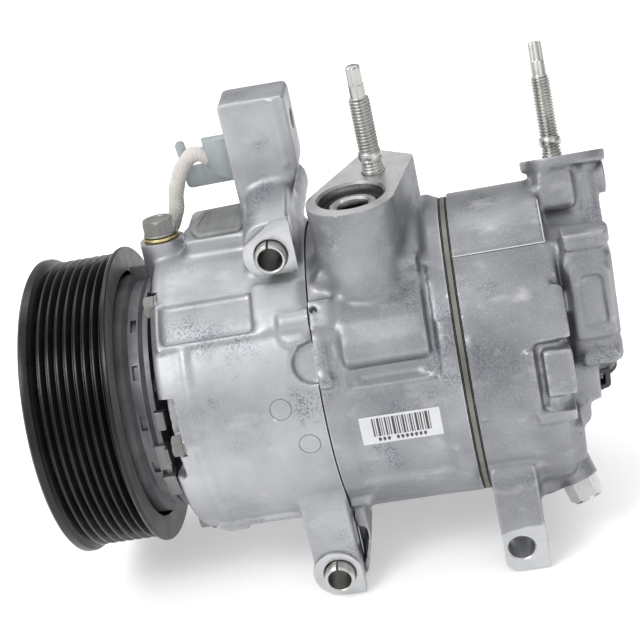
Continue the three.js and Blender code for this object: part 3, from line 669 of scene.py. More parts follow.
def front_housing():
    ux, uz = UPPER_EAR
    flange = BODY_R - 0.7
    shell = spun([
        (20.4, NOSE_R - 0.8), (21.2, NOSE_R), (52, NOSE_R), (52, 22), (FRONT_X + 2.2, 24),
        (FRONT_X + 2.2, 50), (FRONT_X, 51), (FRONT_X, 56.6), (FRONT_X + 2.4, flange),
        (66.3, flange), (67, BODY_R), (JOINT_X + 1.2, BODY_R),
    ], 192)
    root = [sector(94.6, 113.4, 48, 61, 46.6, 62), sector(97, 113.4, 48, 60.6, 42, 48)]
    soft = front_shapes() + [disc(58, JOINT_X + 5, BODY_R - 0.15, 160), *root]
    parts = [
        shell, *front_shapes(), fill_rod(50, FILL_SEAT + 1, 8.9),
        # parting ridge up the tower's face
        block(113.4, 114.7, -1.3, 2, 87, 113),
        # beads round the recess on the body's flank
        sector(57.4, 99, 50, BODY_R + 0.95, 41.4, 43.2), sector(57, 58.8, 50, BODY_R + 0.7, 42, 60),
        sector(57, 97, 50, BODY_R + 0.6, 59.6, 60.6), sector(66.2, 67.8, 50, BODY_R + 0.75, -66, 60, 60),
        # bosses along the joint
        spoke(108.6, 41, 50, BODY_R + 1.5, 5.2), sector(108.6, 114, 50, BODY_R + 1.5, 36.2, 45.8),
        boss(104, JOINT_X + 1.2, 45, BODY_R - 1.2, 5),
        boss(102, JOINT_X + 1.2, -40, BODY_R - 2.6, 5),
        # foot rail under the body
        sector(62, 97, 50, BODY_R + 1.8, -47, -41.5), sector(62, 72, 50, BODY_R + 2.2, -56, -44),
        sector(67, JOINT_X, 50, BODY_R + 0.35, -28.6, -27.8, 4),
    ]
    hollows = [
        sector(58.8, 94.5, 57.5, 66, 43.4, 59.4), sector(52, 60.5, 50.5, 66, 4, 24),
        sector(52, 58.5, 50.5, 66, -9, 5), sector(53, 60.5, 50.5, 70, 103, 118),
        spoke(114.8, 29, 56.8, 66, 7.8),
        *mirrored([(109, -62), (116.5, -62), (116.5, -30), (109, -30)], 39, 46),
    ]
    obj = casting("front_housing_skin", soft, parts, hollows, CAST)
    leg_x, leg_z = FRONT_EAR
    arch = arc(leg_x - 0.85, leg_z, 9.75, 0, 180)[1:-1]
    pads = mirrored(lower_leg(FRONT_EAR, leg_z, EAR_PAD_R, 8.9, 10.6) + arch, EAR_Y - 5, EAR_Y)
    pads.append(prism(front_pad(), "y", UPPER_PAD_Y, UPPER_PAD_Y + 7))
    weld(obj, *painted(MACHINED, *[bevelled(pad, 0.35) for pad in pads]))
    crankcase = spun([(62, 44), (67, 48.3), (JOINT_X + 6, 48.3)], 128)
    shaft_bore = spun([(19, 13), (36.6, 13), (36.6, 12), (63, 12)], 96)
    faces = painted(
        MACHINED, fill_rod(FILL_SEAT, FILL_SEAT + 12, 9.6),
        eye(ux, uz, UPPER_PAD_Y, EAR_Y, EAR_BORE_R + 1), eye(*FRONT_EAR, -EAR_Y, EAR_Y, EAR_BORE_R + 1),
        rod_x(104, 122, 9.8, 102, 4, 40),
    )
    marks = painted(CAST, ejector_mark(100, 14), ejector_mark(108, -1), *bolt_holes(40, 122))
    inside = painted(INNER_CAST_SHADED, crankcase, shaft_bore)
    seats = [rod_x(46, bolt_seat(i), *bolt_axis(i), 5.4) for i in range(6)]
    flats = painted(FACED, disc(JOINT_X - 0.2, JOINT_X + 9, BODY_R + 6), *seats)
    seam = painted(GASKET, ring(JOINT_X - 0.3, JOINT_X + 2, BODY_R - 0.9, BODY_R + 3, 192))
    carve(obj, faces + marks + inside + flats + seam)
    finish(obj, "front_housing_casting", "front_housing")


def port_outline():
    """The discharge port's face: round over the bore, with a nose for the stud."""
    x, y = DISCHARGE
    sides = [(162, 8.5), (149, 19.6), (141, 19.6), (x - 14.6, y + 7)]
    return sides + arc(x, y - 1.6, 17, 149, 340, 32)


def cylinder_block():
    shell = spun([
        (JOINT_X - 1, BODY_R), (122.5, BODY_R), (124.4, 57.5), (158.6, 57.5),
        (159.6, BODY_R), (BLOCK_END + 1, BODY_R),
    ], 192)
    port = prism(port_outline(), "z", 34, PORT_Z - 1)
    ridge = [(55.4, 57), (56.2, 61), (57.4, 64), (59, 64.8), (60.6, 63.8), (62.4, 57)]
    bulge = [(25, 56), (25.8, 60), (27.4, 61.8), (33, 62.6), (40, 62.2), (46, 60.8), (51, 59.4),
             (55, 58.8), (56, 56)]
    web = [(JOINT_X - 1, -40), (120.4, -40), (120.4, -57.5), (115.8, -75), (JOINT_X - 1, -75)]
    pocket = [(JOINT_X - 3, -52), (119, -52, 2), (119, -57.5, 1), (115.6, -69, 1), (JOINT_X - 3, -69)]
    soft = [
        disc(110, BLOCK_END + 5, 57.4, 160), disc(110, 122.8, BODY_R - 0.15, 160),
        disc(159.6, BLOCK_END + 5, BODY_R - 0.15, 160), port,
        wave(125.6, 158, [(turn, r - 0.8) for turn, r in bulge]),
        wave(119, 158, [(turn, r - 0.4) for turn, r in ridge]),
        rod((145, *around(62.5, 60)), (157.6, *around(86, 61.5)), 3.6),
        rod((157.6, *around(86, 61.5)), (163, *around(112, 58.8)), 3.2),
        sector(150, 160.5, 50, 65, 62, 86), sector(117, 129, 50, 61.6, 37.5, 50.5),
        sector(119, 157, 50, 61.5, 60, 70),
    ]
    parts = [
        shell, prism(port_outline(), "z", 34, PORT_Z + 1), wave(121, 158.4, ridge),
        wave(126.6, 158.4, bulge), rod((147, *around(64, 60.6)), (157.6, *around(86, 62)), 3),
        # bolt boss, with the strip that runs down the joint from it
        sector(JOINT_X - 0.4, 124.4, 50, 62.2, 40, 50.6), sector(JOINT_X - 0.4, 120.2, 50, 60.4, 20, 42),
        sector(JOINT_X + 0.6, 120.8, 50, 61.2, 19.4, 24.4),
        boss(JOINT_X - 0.4, 124, -40, BODY_R - 2.6, 5),
        # stepped pads next to the valve plate
        *[sector(161.9, 166.4, 50, r, low, high)
          for r, low, high in ((60, 17.8, 24.4), (60.2, 24.9, 31), (60, 31.5, 36.4))],
        sector(161, 166.4, 50, BODY_R + 0.8, -34, -12),
        # step above the label, and the ledge under it
        sector(123, 159.4, 50, 58.4, 16.4, 17.4), sector(121, 161, 50, BODY_R - 0.15, -100, -25.4, 48),
        sector(JOINT_X + 1, 166, 50, BODY_R + 0.2, -28.6, -27.8, 4),
        # webs behind the front legs
        *mirrored(web, 24, 43),
    ]
    hollows = [
        *mirrored(pocket, 36, 46),
        wave(126, 157.4, [(17.9, 64), (18.3, 64), (24.8, 64)], 56.6),
        wave(129, 154.6, [(19.6, 64), (20, 64), (24.6, 64)], 55.6), spoke(117.7, 47, 59.2, 66, 1.4),
        spoke(118.9, 44.2, 59.2, 66, 1.1), sector(158.2, 161, 57.8, 66, 16, 60),
    ]
    obj = casting("cylinder_block_skin", soft, parts, hollows, CAST_BLOCK_SHADED)
    cylinders = [rod_x(JOINT_X - 2, BLOCK_END + 6, *cylinder_axis(i), BORE_R, 64) for i in range(6)]
    inside = painted(
        INNER_CAST_SHADED, *cylinders, rod_x(108, 151, 0, 0, 12), rod_x(150, 172, 0, 0, 9),
        sector(127, 154, 50.5, 57, 33, 48), rod_x(152, 172, *PASSAGE, 3.4), *bolt_holes(108, 173),
        rod_z(52, PORT_Z - 13, *DISCHARGE, 7.5),
    )
    faces = painted(
        FACED, block(110, 175, -60, 40, PORT_Z, PORT_Z + 9), disc(JOINT_X - 9, JOINT_X, BODY_R + 6),
        disc(BLOCK_END, BLOCK_END + 9, BODY_R + 6),
        bore_cutter(*DISCHARGE_STUD, PORT_Z, 17, STUD_BORE_R, 0.5, 40),
    )
    faces += painted(BORED_SHADED, bore_cutter(*DISCHARGE, PORT_Z, 14, DISCHARGE_R, 0.9, 80))
    seam = painted(GASKET, ring(JOINT_X - 2, JOINT_X + 0.3, BODY_R - 0.9, BODY_R + 4, 192))
    carve(obj, inside + faces + seam)
    finish(obj, "cylinder_block_casting", "cylinder_block")


def valve_column(low, high, inset=0.0, front=0.0):
    """A length of the boxed column round the control valve, drawn in X and Y."""
    x0, x1, y0 = 209.6 + inset, 228 - inset, -39.4 + inset + front
    return prism([(204, -12 - inset), (204, -31), (x0 - 0.6, -32, 1), (x0, y0, 2.6), (x1, y0, 5),
                  (x1, -14.6 - inset, 6)], "z", low, high)


def suction_port():
    """The leaning suction port: a thin flange over a ribbed neck, and the boss behind."""
    flange = [(201.2, 14, 9), (201.2, -25, 14), (234, -25, 15), (234, 14, 9), (217, 24, 9)]
    neck = [(205, 18, 4), (205, -20.4, 4), (219.5, -20.4, 1), (221.6, -18.6, 1), (223.6, -20.8, 1.5),
            (229, -20.8, 6), (229, 18, 6)]
    top, low = SUCTION_H - 6, SUCTION_H - 20
    panel = [(206.6, low, 3), (206.6, top, 1.5), (219.6, top, 1.5), (219.6, low, 3)]
    return leaned(joined("suction_port", [
        prism(flange, "z", SUCTION_H - 4.2, SUCTION_H + 1), prism(neck, "z", 20, SUCTION_H - 3),
        prism(panel, "y", -23.6, -16), block(204.4, 206.4, -21.8, -14, low - 2, top, 1),
        rod_x(222, 230, -13, BOSS_H, 6),
    ]))


def rear_housing():
    shell = spun([
        (REAR_X - 1, BODY_R), (201, BODY_R), (204, 57), (206, 53), (206, 30),
        (211, 26),
    ], 192)
    leg = lower_leg(REAR_EAR, -28, 7, 10.2, 5)
    soft = [
        disc(REAR_X - 5, 203, BODY_R - 0.15, 160), suction_port(), valve_column(VALVE_LOW, 49, 0.4),
        block(195, 214, -34, -8, 4, 46), *mirrored(leg, 34, EAR_Y + 1.6),
        relief_rod(-24, -1, 8.2),
        block(186, 204, -33, -26, -57, -44), sector(198, 209, 44, 56.5, -40, -14),
        boss(198, 213, -25, 36, 9), boss(198, 210, -100, 40, 8),
        boss(198, 211, 150, 40, 9), boss(198, 210, 205, 42, 8),
        rod_x(198, 213, 0, 0, 16),
        *[sector(196, 208, 20, 44, *ends) for ends in ((-6, 3), (120, 128), (170, 178), (240, 248))],
    ]
    parts = [
        shell, suction_port(),
        # control valve column: foot, panelled middle and cap
        valve_column(VALVE_LOW, 9.4, 0, 0.2), valve_column(9, 13, 3, 0), valve_column(12.6, 45.6, 0, 0),
        prism([(211.2, 14.6, 2), (227, 14.6, 3), (226.4, 44, 4), (211.4, 44, 3)], "y", -40.6, -34),
        prism([(212.6, 3, 2.4), (226.4, 3, 2.4), (226.4, 8.4, 2.4), (212.6, 8.4, 2.4)], "y", -40.6, -34),
        valve_column(45, 50.6, 1.6, 0.6),
        prism([(210.6, -28, 2), (210.6, -39.4, 3), (228, -39.4, 5), (228, -28, 3)], "z", 50, 56),
        prism([(206, 4), (218.4, 4), (217.4, -13), (207, -14)], "y", -39, -33),
        # raised cover over the top of the body, whose edge shows as a bright line
        sector(REAR_X - 1, 205.6, 50, BODY_R + 0.9, 59.6, 150, 60),
        # flank up to the valve column, its jog, and the framed pocket below
        sector(REAR_X - 1, 207.6, 46, BODY_R, 23.6, 58.6, 40),
        sector(REAR_X + 1, 208.6, 46, BODY_R + 0.15, 23.6, 42, 24),
        sector(198, 208.4, 46, 61.2, 4, 20.2), sector(191.6, 194.6, 50, 60.4, -3, 21),
        sector(193, 207, 46, 61, -7, -2.4), sector(REAR_X + 1, REAR_X + 4, 50, 60.2, -2, 14),
        sector(REAR_X + 1, REAR_X + 3.2, 50, 60, 14, 28),
        sector(REAR_X - 1, 196, 48, 61.5, 228, 262), *mirrored(leg, 37, EAR_Y + 1.6),
        block(REAR_EAR[0] - 3.5, REAR_EAR[0] + 3.5, -38, 38, -60, -50),
        relief_rod(-22, 1, 8),
    ]
    hollows = [
        sector(204.4, 210, 56.6, 66, 43.4, 46.2),
        prism([(214.6, 18.4, 3), (224.2, 18.4, 3), (223.6, 40.4, 3), (214.8, 40.4, 3)], "y", -44, -39.5),
        sector(194.9, 197.8, 57.4, 66, -2, 22), sector(195, 210, 57, 66, 20.6, 23.2),
    ]
    obj = casting("rear_housing_skin", soft, parts, hollows, CAST_REAR_SHADED)
    dimple = leaned(lathe([(224, 0), (224, 6.3), (231.6, 6.3), (232.2, 5.7), (232.2, 4.4), (231.4, 3.4),
                           (230.8, 0)], 64, (0, -13, BOSS_H)))
    lines = [sector(REAR_X, 205.2, 57, BODY_R + 0.95, 59.3, 59.8, 4),
             sector(204.8, 205.3, 57, BODY_R + 0.95, 59.3, 82, 24)]
    weld(obj, *painted(CAST_REAR_SHADED, dimple, *lines))
    seat = leaned(rod_z(SUCTION_H, SUCTION_H + 9, 217, 0, 60))
    stud_hole = leaned(bore_cutter(*SUCTION_STUD, SUCTION_H, 16, STUD_BORE_R, 0.5, 40))
    faces = painted(
        MACHINED, seat, stud_hole, *mirrored(leg_face(REAR_EAR, 7, 10.2, 5), EAR_Y, EAR_Y + 9),
        eye(*REAR_EAR, -EAR_Y, EAR_Y, EAR_BORE_R), relief_rod(0, 6, 12),
        relief_rod(-11, 1, 4.5),
    )
    faces += painted(BORED_SHADED, leaned(bore_cutter(*SUCTION, SUCTION_H, SUCTION_H - 26, SUCTION_R, 0.9, 80)))
    faces += painted(FACED, disc(REAR_X - 9, REAR_X, BODY_R + 6))
    inside = painted(
        INNER_CAST_SHADED, ring(REAR_X - 2, REAR_X + 22, 31, 46), disc(REAR_X - 2, 206, 27),
        rod_z(5, VALVE_HIGH - 8, *VALVE, 9.6), rod_z(-15, 8, *VALVE, 11.3),
        *bolt_holes(REAR_X - 2, 198),
    )
    carve(obj, faces + inside)
    finish(obj, "rear_housing_casting", "rear_housing")


# ---- joint faces
def cylinder_axis(i, r=PISTON_CIRCLE):
    return around(BOLT_PHASE + 30 + 60 * i, r)


def joint_rings():
    """The valve plate and its gaskets: a narrow band between the castings."""
    for node, proud, look in (("valve_plate", 0.1, OLIVE), ("block_gasket", 0.3, GASKET),
                              ("head_gasket", 0.3, GASKET)):
        x0, x1 = span(node, "x")
        ends = (x0 - 1, x1 + 1)
        ports = [rod_x(*ends, *PASSAGE, 3.4, 32), *bolt_holes(*ends)]
        if node == "valve_plate":
            obj = disc(x0, x1, BODY_R - proud, 192)
            ports += [rod_x(*ends, *cylinder_axis(i, r), size, 32)
                      for i in range(6) for r, size in ((24, 2.6), (40, 2.8))]
        else:
            obj = ring(x0, x1, 47.4, BODY_R - proud, 192)
        carve(obj, ports)
        finish(obj, node + "_pressed", node, look)


# ---- clutch
def pulley():
    """A ribbed pulley: eight V grooves with rounded floors between two rims."""
    (front, rear), rim = PULLEY_X, PULLEY_R
    grooves, pitch, first = 8, 3.56, front + 4.2
    crest, root = rim - 2, rim - 5.1
    profile = [(front, 55.6), (front, rim - 0.8), (front + 0.8, rim), (first - 1.6, rim),
               (first - 0.6, rim - 0.4)]
    for i in range(grooves):
        x = first + i * pitch
        for along, r in ((0.28, crest), (0.5, crest - 0.25), (1.42, root + 0.25), (1.6, root),
                         (1.96, root), (2.14, root + 0.25), (3.06, crest - 0.25), (3.28, crest)):
            profile.append((x + along, r))
    last = first + grooves * pitch
    profile += [(last + 0.2, rim - 0.5), (last + 0.9, rim), (rear - 0.5, rim),
                (rear, rim - 0.5), (rear, 51.6), (rear - 0.6, 50.9), (18, 50.9), (17, 50),
                (17, 30.2), (rear - 3.4, 30.2), (rear - 3.4, 25.9), (14.6, 25.9), (14.6, 24.4),
                (11.6, 24.4), (11.6, 53.4), (10.8, 54), (8, 55.6)]
    obj = lathe(profile, 192)
    slots = [sector(10, 19, 39, 41, a, a + 104, 40) for a in (8, 128, 248)]
    painted(BLACK, obj, *slots)
    # the rear rim's face takes the lighter black: painted sheen
    carve(obj, slots + painted(RIM_SHEEN, ring(rear - 0.1, rear + 3, 49, rim + 2, 192)))
    finish(obj, "pulley_wheel", "pulley", sharp=24)


def field_coil():
    end = FRONT_X - 3.4
    obj = lathe([
        (18.4, 31.4), (18.4, 48.7), (18.9, 49.2), (40.6, 49.2), (41, 48.8), (42.5, 47), (46.6, 47),
        (47.2, 47.4), (49, 48.6), (end, 48.6), (end, 46), (51, 44), (51, 18), (47.5, 18), (47.5, 31.4),
    ], 160)
    rivets = [boss(42, end + 0.6, 30 + 90 * i, 43, 3.2, 32) for i in range(4)]
    weld(obj, sector(40, 53, 45, 52.6, 104, 117, 12), rod_x(47, 55.6, 30, 30, 2.5, 32), *rivets)
    cuts = [sector(end - 0.9, end + 2, 40, 50, a, a + 5, 6) for a in (-20, -4, 14, 76, 150, 200, 260)]
    cuts += [sector(26, 32, 47.6, 51, a, a + 9, 6) for a in (6, 24, 42, 150, 240, 330)]
    cuts += [sector(43.6, 46, 45.6, 51, a, a + 7, 6) for a in (-14, 10, 34, 58)]
    carve(obj, cuts)
    bevelled(obj, 0.35)
    finish(obj, "field_coil_shell", "field_coil", COIL)
    for name, *sizes in (
        ("upper", 50.6, 54.2, 45, 51.6, 10.5, 18.6), ("hook", 51.4, 52.8, 46, 52, -6, 2),
        ("middle", 46.8, 51.8, 45, 50, -10, 3), ("lower", 46.6, 52, 45, 50.4, -28, -14),
    ):
        finish(bevelled(sector(*sizes, 8), 0.4), "coil_anchor_" + name, look=IRON)


def hexagon(height, across, origin, axis=(-1, 0, 0)):
    """A six-sided head, its end chamfered by a cone."""
    r = across / sqrt(3)
    head = spun([(0, r), (height, r)], 6, origin, axis)
    cone = spun([(-1, r + 1), (height - 0.2 * r, r + 0.45), (height, 0.86 * r)],
                 64, origin, axis)
    reshape(head, "BOOLEAN", operation="INTERSECT", solver="MANIFOLD", object=cone)
    discard(cone)
    return head


def armature():
    """The armature plate, slotted and stepped, with its three rivets."""
    x0, x1 = span("armature_plate", "x")
    plate = ring(x0, x1, 27, 52, 160)
    slots = [sector(x0 - 1, x1 + 1, 38.6, 40.6, a, a + 112, 40) for a in (60, 180, 300)]
    carve(plate, [*slots, ring(x0 - 1, x0 + 1, 44.5, 47.5, 160)])
    bevelled(plate, 0.4)
    finish(plate, "armature_disc", "armature_plate", BLACK)
    for i in range(3):
        rivet = spun([(-1.1, 2), (-0.7, 3), (0.2, 3.4), (3, 3.4)], 40,
                      (x0, *around(i * 120 + 26, 33)))
        finish(rivet, f"armature_rivet_{i + 1}", look=STEEL, body="armature")


def clutch_hub():
    """The rubber damper and the hub with its bolt."""
    damper = lathe([(6.6, 22.3), (6.2, 23.2), (6.7, 24.5), (6.2, 25.8), (6.6, 26.7), (10.6, 26.7),
                    (10.6, 22.3)])
    finish(damper, "hub_damper_ring", "hub_damper", RUBBER)
    hub = spun([(6, 17.4), (6.5, 18), (8, 20), (8, 21.6), (8.4, 22), (11, 22), (11, 11),
                 (22, 10)])
    windows = [sector(5, 7.2, 13.5, 17, i * 60 + 14, i * 60 + 46, 12) for i in range(6)]
    carve(hub, [rod_x(7.9, 30, 0, 0, 6.5), rod_x(4, 9, 0, 0, 4.4), *windows])
    bevelled(hub, 0.25)
    finish(hub, "clutch_hub_forging", "clutch_hub", BLACK)
    bolt = hexagon(4.6, 12, (4.6, 0, 0))
    weld(bolt, spun([(4, 8.2), (4.4, 8.6), (5.7, 8.6)], 96), rod_x(5, 8.1, 0, 0, 4))
    finish(bolt, "hub_bolt_head", "hub_bolt", ZINC)


# ---- fasteners
def stud(name, node, above, tip_length, place):
    """A stud on its port face: thread, swaged collar, thread and splined tip."""
    pitch, major, depth, tip_r = 1.25, 4.0, 0.72, 2.95
    collar = (4.8, 8.4)
    tip_base = above - tip_length

    def radius(angle, h):
        if h > tip_base:
            from_top = above - h
            lobes = 0.42 * (0.5 - 0.5 * cos(6 * angle)) if from_top < 0.42 * tip_length + 2 else 0
            end = 0.9 * max(0, 1 - from_top / 1.1) ** 2
            return tip_r - lobes - end + 0.7 * max(0, 1 - (h - tip_base) / 0.6)
        if collar[0] < h < collar[1]:
            t = (h - collar[0]) / (collar[1] - collar[0])
            return major + 0.55 * sin(pi * t) ** 0.5
        crest = major + (0.5 * max(0, 1 - h / 3.5) if h > 0 else 0)
        fade = min(1, max(0, (tip_base - h) / 0.8))
        # 0 at the thread's root and 1 at its crest, with short flats on both
        turns = (h / pitch - angle / TURN) % 1
        height = min(1, max(0, 1.45 * (1 - abs(2 * turns - 1)) - 0.2))
        return crest - depth * (1 - height) - 0.35 * (1 - fade)

    step = pitch / 10
    stations = [-13, -2, *[-1.5 + step * i for i in range(int((above + 1.5) / step))], above]
    angles = [TURN * i / 48 for i in range(48)]
    obj = skinned([[(-radius(a, h) * sin(a), radius(a, h) * cos(a), h) for a in angles]
                   for h in stations])
    obj.data.transform(place)
    finish(obj, name, node, ZINC, sharp=50)


def studs():
    upright = Matrix.Translation(Vector((*DISCHARGE_STUD, PORT_Z)) * MM)
    stud("discharge_port_stud", "discharge_stud", span("discharge_stud", "z")[1] - PORT_Z, 12.6, upright)
    lean = Matrix.Rotation(-radians(SUCTION_TILT), 4, "X")
    on_face = Matrix.Translation(Vector((*SUCTION_STUD, SUCTION_H)) * MM)
    stud("suction_port_stud", "suction_stud", 47, 14.5, lean @ on_face)


def through_bolts():
    for i in range(6):
        y, z = bolt_axis(i)
        seat = bolt_seat(i)
        bolt = hexagon(4.6, 8, (seat - 1, y, z))
        weld(bolt, rod_x(seat - 1, 196, y, z, 3, 24),
             spun([(-1.6, 4.3), (-0.8, 4.9), (0, 4.9)], 48, (seat, y, z)))
        name = f"through_bolt_{i + 1}"
        finish(bolt, name + "_forged", name, BOLT)


def fill_plug():
    """The oil plug: a dull six-sided head on a yellow sealing washer."""
    at = Vector((FILL_X, *around(FILL_ANGLE, FILL_SEAT + 0.3)))
    out = outward(FILL_ANGLE)
    head = hexagon(6.2, 11.6, at + 1.9 * out, out)
    weld(head, lathe([(1.5, 0), (1.5, 6.4), (1.9, 6.7), (2.5, 6.5), (2.8, 0)], 64, at, out),
         rod(at - 11 * out, at + 2 * out, 4.1))
    carve(head, [rod(at + 7.85 * out, at + 9.5 * out, 3.8, 48, 4.8)])
    finish(head, "fill_plug_head", "fill_plug", DULL_ZINC)
    washer = lathe([(0, 4.3), (0, 6.9), (0.25, 7.15), (0.9, 7.15), (1.2, 6.9), (1.2, 4.3)], 96, at, out)
    finish(washer, "fill_plug_washer", look=BRASS)


def relief_valve():
    at, out = RELIEF_AT, RELIEF_OUT
    body = hexagon(7.2, 12, at + 0.3 * out, out)
    weld(body, spun([(6, 5.6), (8.2, 5.6), (8.6, 5.1)], 64, at, out),
         relief_rod(-10.5, 1, 4.1))
    carve(body, [relief_rod(7.6, 9, 2.6)])
    finish(body, "relief_valve_body", "relief_valve", STEEL)


def sleeve(name, node, ear):
    """A rolled sleeve: a split tube with chamfered ends."""
    x, z = ear
    low, high = span(node, "y")
    outer, inner = EAR_BORE_R + SLEEVE_WALL, EAR_BORE_R - 0.6
    length = high - low
    tube = lathe([(0, inner + 0.3), (0, outer - 0.5), (0.6, outer), (length - 0.4, outer),
                  (length, outer - 0.4), (length, inner + 0.3), (length - 0.3, inner), (0.3, inner)],
                 96, (x, low, z), (0, 1, 0))
    carve(tube, [block(x - 0.45, x + 0.45, low - 1, high + 1, z, z + 9)])
    finish(tube, name, node, ZINC)


def check_valve():
    """The valve seat that shows at the bottom of the discharge mouth."""
    def upright(profile, sides):
        return lathe(profile, sides, (*DISCHARGE, PORT_Z), (0, 0, 1))

    seat = upright([
        (-13.6, 5.2), (-13.6, 9.4), (-9.6, 9.4), (-9.6, 11.9), (-6.6, 12), (-6.1, 11.5), (-6.1, 9.6),
        (-4, 9.2), (-3.5, 8.6), (-3.5, 7), (-4.2, 6), (-7, 5.4),
    ], 96)
    painted(STEEL, seat)
    # painted shade: the bore through the seat is lined in black
    carve(seat, painted(BLACK, rod_z(PORT_Z - 15, PORT_Z - 2, *DISCHARGE, 5.6)))
    finish(seat, "check_valve_seat", "check_valve")
    poppet = upright([(-13.4, 0), (-13.4, 4.9), (-12.5, 4.9), (-11.6, 3.6), (-11.4, 0)], 48)
    finish(poppet, "check_valve_poppet", look=PLASTIC)
    r = DISCHARGE_R
    seal = upright([(-5.4, r - 1.6), (-6, r - 1.1), (-6, r - 0.1), (-4.4, r - 0.1), (-4.4, r - 1)], 96)
    finish(seal, "check_valve_seal", look=RUBBER)


# ---- control valve and coil lead
def control_valve():
    """The solenoid can under the rear housing, with its black socket."""
    x, y = VALVE
    can = spun([
        (-5, 9), (-4.4, 9.6), (-1.2, 9.6), (-0.8, 10.5), (0.4, 10.5), (0.8, 11), (7.6, 11),
        (7.6, 9.2), (12, 9.2), (12.6, 8.4), (14.8, 8.4), (15.4, 9.2), (24, 9.2), (24.6, 8.4), (26.8, 8.4),
        (27.4, 9.2), (34, 9.2), (34.6, 7.4), (39, 7.4), (40, 6.6),
    ], 96, (x, y, 0), (0, 0, 1))
    finish(can, "control_valve_can", "control_valve", COIL)
    body = prism([(x - 1.6, -9.4, 1), (x + 5.6, -9.4, 2.4), (x + 6, -1.6, 1), (x - 1.6, -1.6, 1)],
                 "y", y - 9.4, y + 6)
    cap = spun([(-5.4, 9.4), (-4.9, 9.9), (-4.2, 9.9)], 72, (x, y, 0), (0, 0, 1))
    rim = prism([(x - 2.2, -10, 1), (x + 6.2, -10, 2.4), (x + 6.6, -1, 1), (x - 2.2, -1, 1)],
                "y", y - 9, y - 7.4)
    weld(body, cap, rim, block(x + 0.4, x + 3.4, y - 8.4, y + 2, -10.8, -6))
    mouth = [(x - 0.4, -8.2, 0.6), (x + 4.4, -8.2, 1.4), (x + 4.6, -3, 0.6), (x - 0.4, -3, 0.6)]
    carve(body, [prism(mouth, "y", y - 11, y - 3)])
    bevelled(body, 0.25)
    finish(body, "control_valve_socket", look=PLASTIC)
    for name, at in (("left", x + 0.9), ("right", x + 3.1)):
        pin = block(at - 0.5, at + 0.5, y - 8, y - 2, -6.2, -5.2, 0.2)
        finish(pin, "control_valve_pin_" + name, look=IRON)


def smooth_path(points, steps):
    """A curve through all the points, with no corners."""
    points = [Vector(p) for p in points]
    ends = [2 * points[0] - points[1], *points, 2 * points[-1] - points[-2]]
    path = []
    for a, b, c, d in zip(ends, ends[1:], ends[2:], ends[3:]):
        for t in (i / steps for i in range(steps)):
            path.append(0.5 * (2 * b + (c - a) * t + (2 * a - 5 * b + 4 * c - d) * t ** 2
                               + (3 * b - a - 3 * c + d) * t ** 3))
    return path + [points[-1]]


def swept(path, radius, sides):
    """A tube along a path; its radius is a function of (angle, distance)."""
    rings = []
    across = None
    travelled = 0
    for i, p in enumerate(path):
        ahead = (path[min(i + 1, len(path) - 1)] - path[max(i - 1, 0)]).normalized()
        if across is None:
            across = ahead.orthogonal().normalized()
        across = (across - ahead * across.dot(ahead)).normalized()
        up = ahead.cross(across)
        if i:
            travelled += (p - path[i - 1]).length
        angles = [TURN * k / sides for k in range(sides)]
        rings.append([p + (across * cos(a) + up * sin(a)) * radius(a, travelled)
                      for a in angles])
    return skinned(rings)


def coil_lead():
    """The braided sleeve from the coil's notch up to its connector."""
    y, z = around(110.5, 54.6)
    route = [(48, y, z), (50.5, y + 0.6, z + 3.6), (56.6, 21, 58.6), (62.6, 21.4, 67.4), (65.3, 21.5, 77.3),
             (69.3, 21.5, 85.2), (74, 21.5, 90), (78, 21.6, 90.4), (81, 22.4, 88), (83, 25.4, 86),
             (84.4, 30, 85)]

    def braid(angle, distance):
        strands = sin(9 * angle + distance * 2.2) * sin(9 * angle - distance * 2.2)
        return 3.05 + 0.08 * strands + 0.1 * sin(distance * 0.8)

    tube = swept(smooth_path(route, 20), braid, 108)
    finish(tube, "coil_lead_sleeve", "coil_lead", SLEEVE, sharp=60)


def lead_bracket():
    """A pressed arm that hooks round the coil lead, and the screw that holds it."""
    arm = prism([(69.2, 75.6, 2.5), (70, 84.4, 1), (86, 84.8, 0.6), (86, 94, 1), (98, 95.4), (98, 76.4),
                 (88, 75.8, 2)], "y", 25.2, 27)
    foot = prism([(25.2, 76.4, 2), (40, 78, 3), (40, 92, 3), (25.2, 95.4, 2)], "x", 96.6, 98.2)
    finger = prism([(69.4, 76, 2), (68.2, 95.2, 1.7), (71.8, 95.4, 1.7), (73.6, 80, 2)], "y", 25.2, 27)
    # a curled cover that the lead tucks behind, cut off at a slant below
    outer = [(79.9, 24), (79.9, 21.6), (80.7, 19.4), (82.4, 18), (85, 17.5), (92.9, 18.8)]
    inner = [(92.9, 26.6), (91.3, 26.6), (91.3, 20.2), (85, 19.1), (83, 19.6), (81.9, 20.8), (81.5, 22.2),
             (81.5, 24)]
    cover = prism(outer + inner, "z", 74, 96)
    carve(cover, [prism([(78, 72), (78, 84.6), (80.6, 84.2), (93.5, 76), (93.5, 72)], "y", 16, 25)])
    weld(arm, cover, prism([*outer, (92.9, 24)], "z", 94.7, 96), foot, finger)
    carve(arm, [rod_y(20.5, 30, 83.9, 85.4, 3.4, 40)])
    bevelled(arm, 0.4)
    finish(arm, "lead_bracket_arm", "lead_bracket", BRACKET)
    screw = hexagon(3.4, 7, (96.6, 33, 85))
    finish(screw, "lead_bracket_screw", look=ZINC)


def shelf_plate():
    """The flat dished plate on the housing's shelf."""
    plate = prism([(70.4, 3.2, 2), (74, -4.8, 2), (92, -4.2, 2), (92, 22, 1), (74.2, 21, 2)],
                  "z", 65.4, 66.9)
    carve(plate, [prism([(73, 3.4, 2), (75.4, -2.4, 2), (89.6, -2, 2), (89.6, 19.4, 2), (75.6, 18.8, 2)],
                        "z", 66.6, 68)])
    bevelled(plate, 0.3)
    finish(plate, "shelf_plate", look=SHELF)


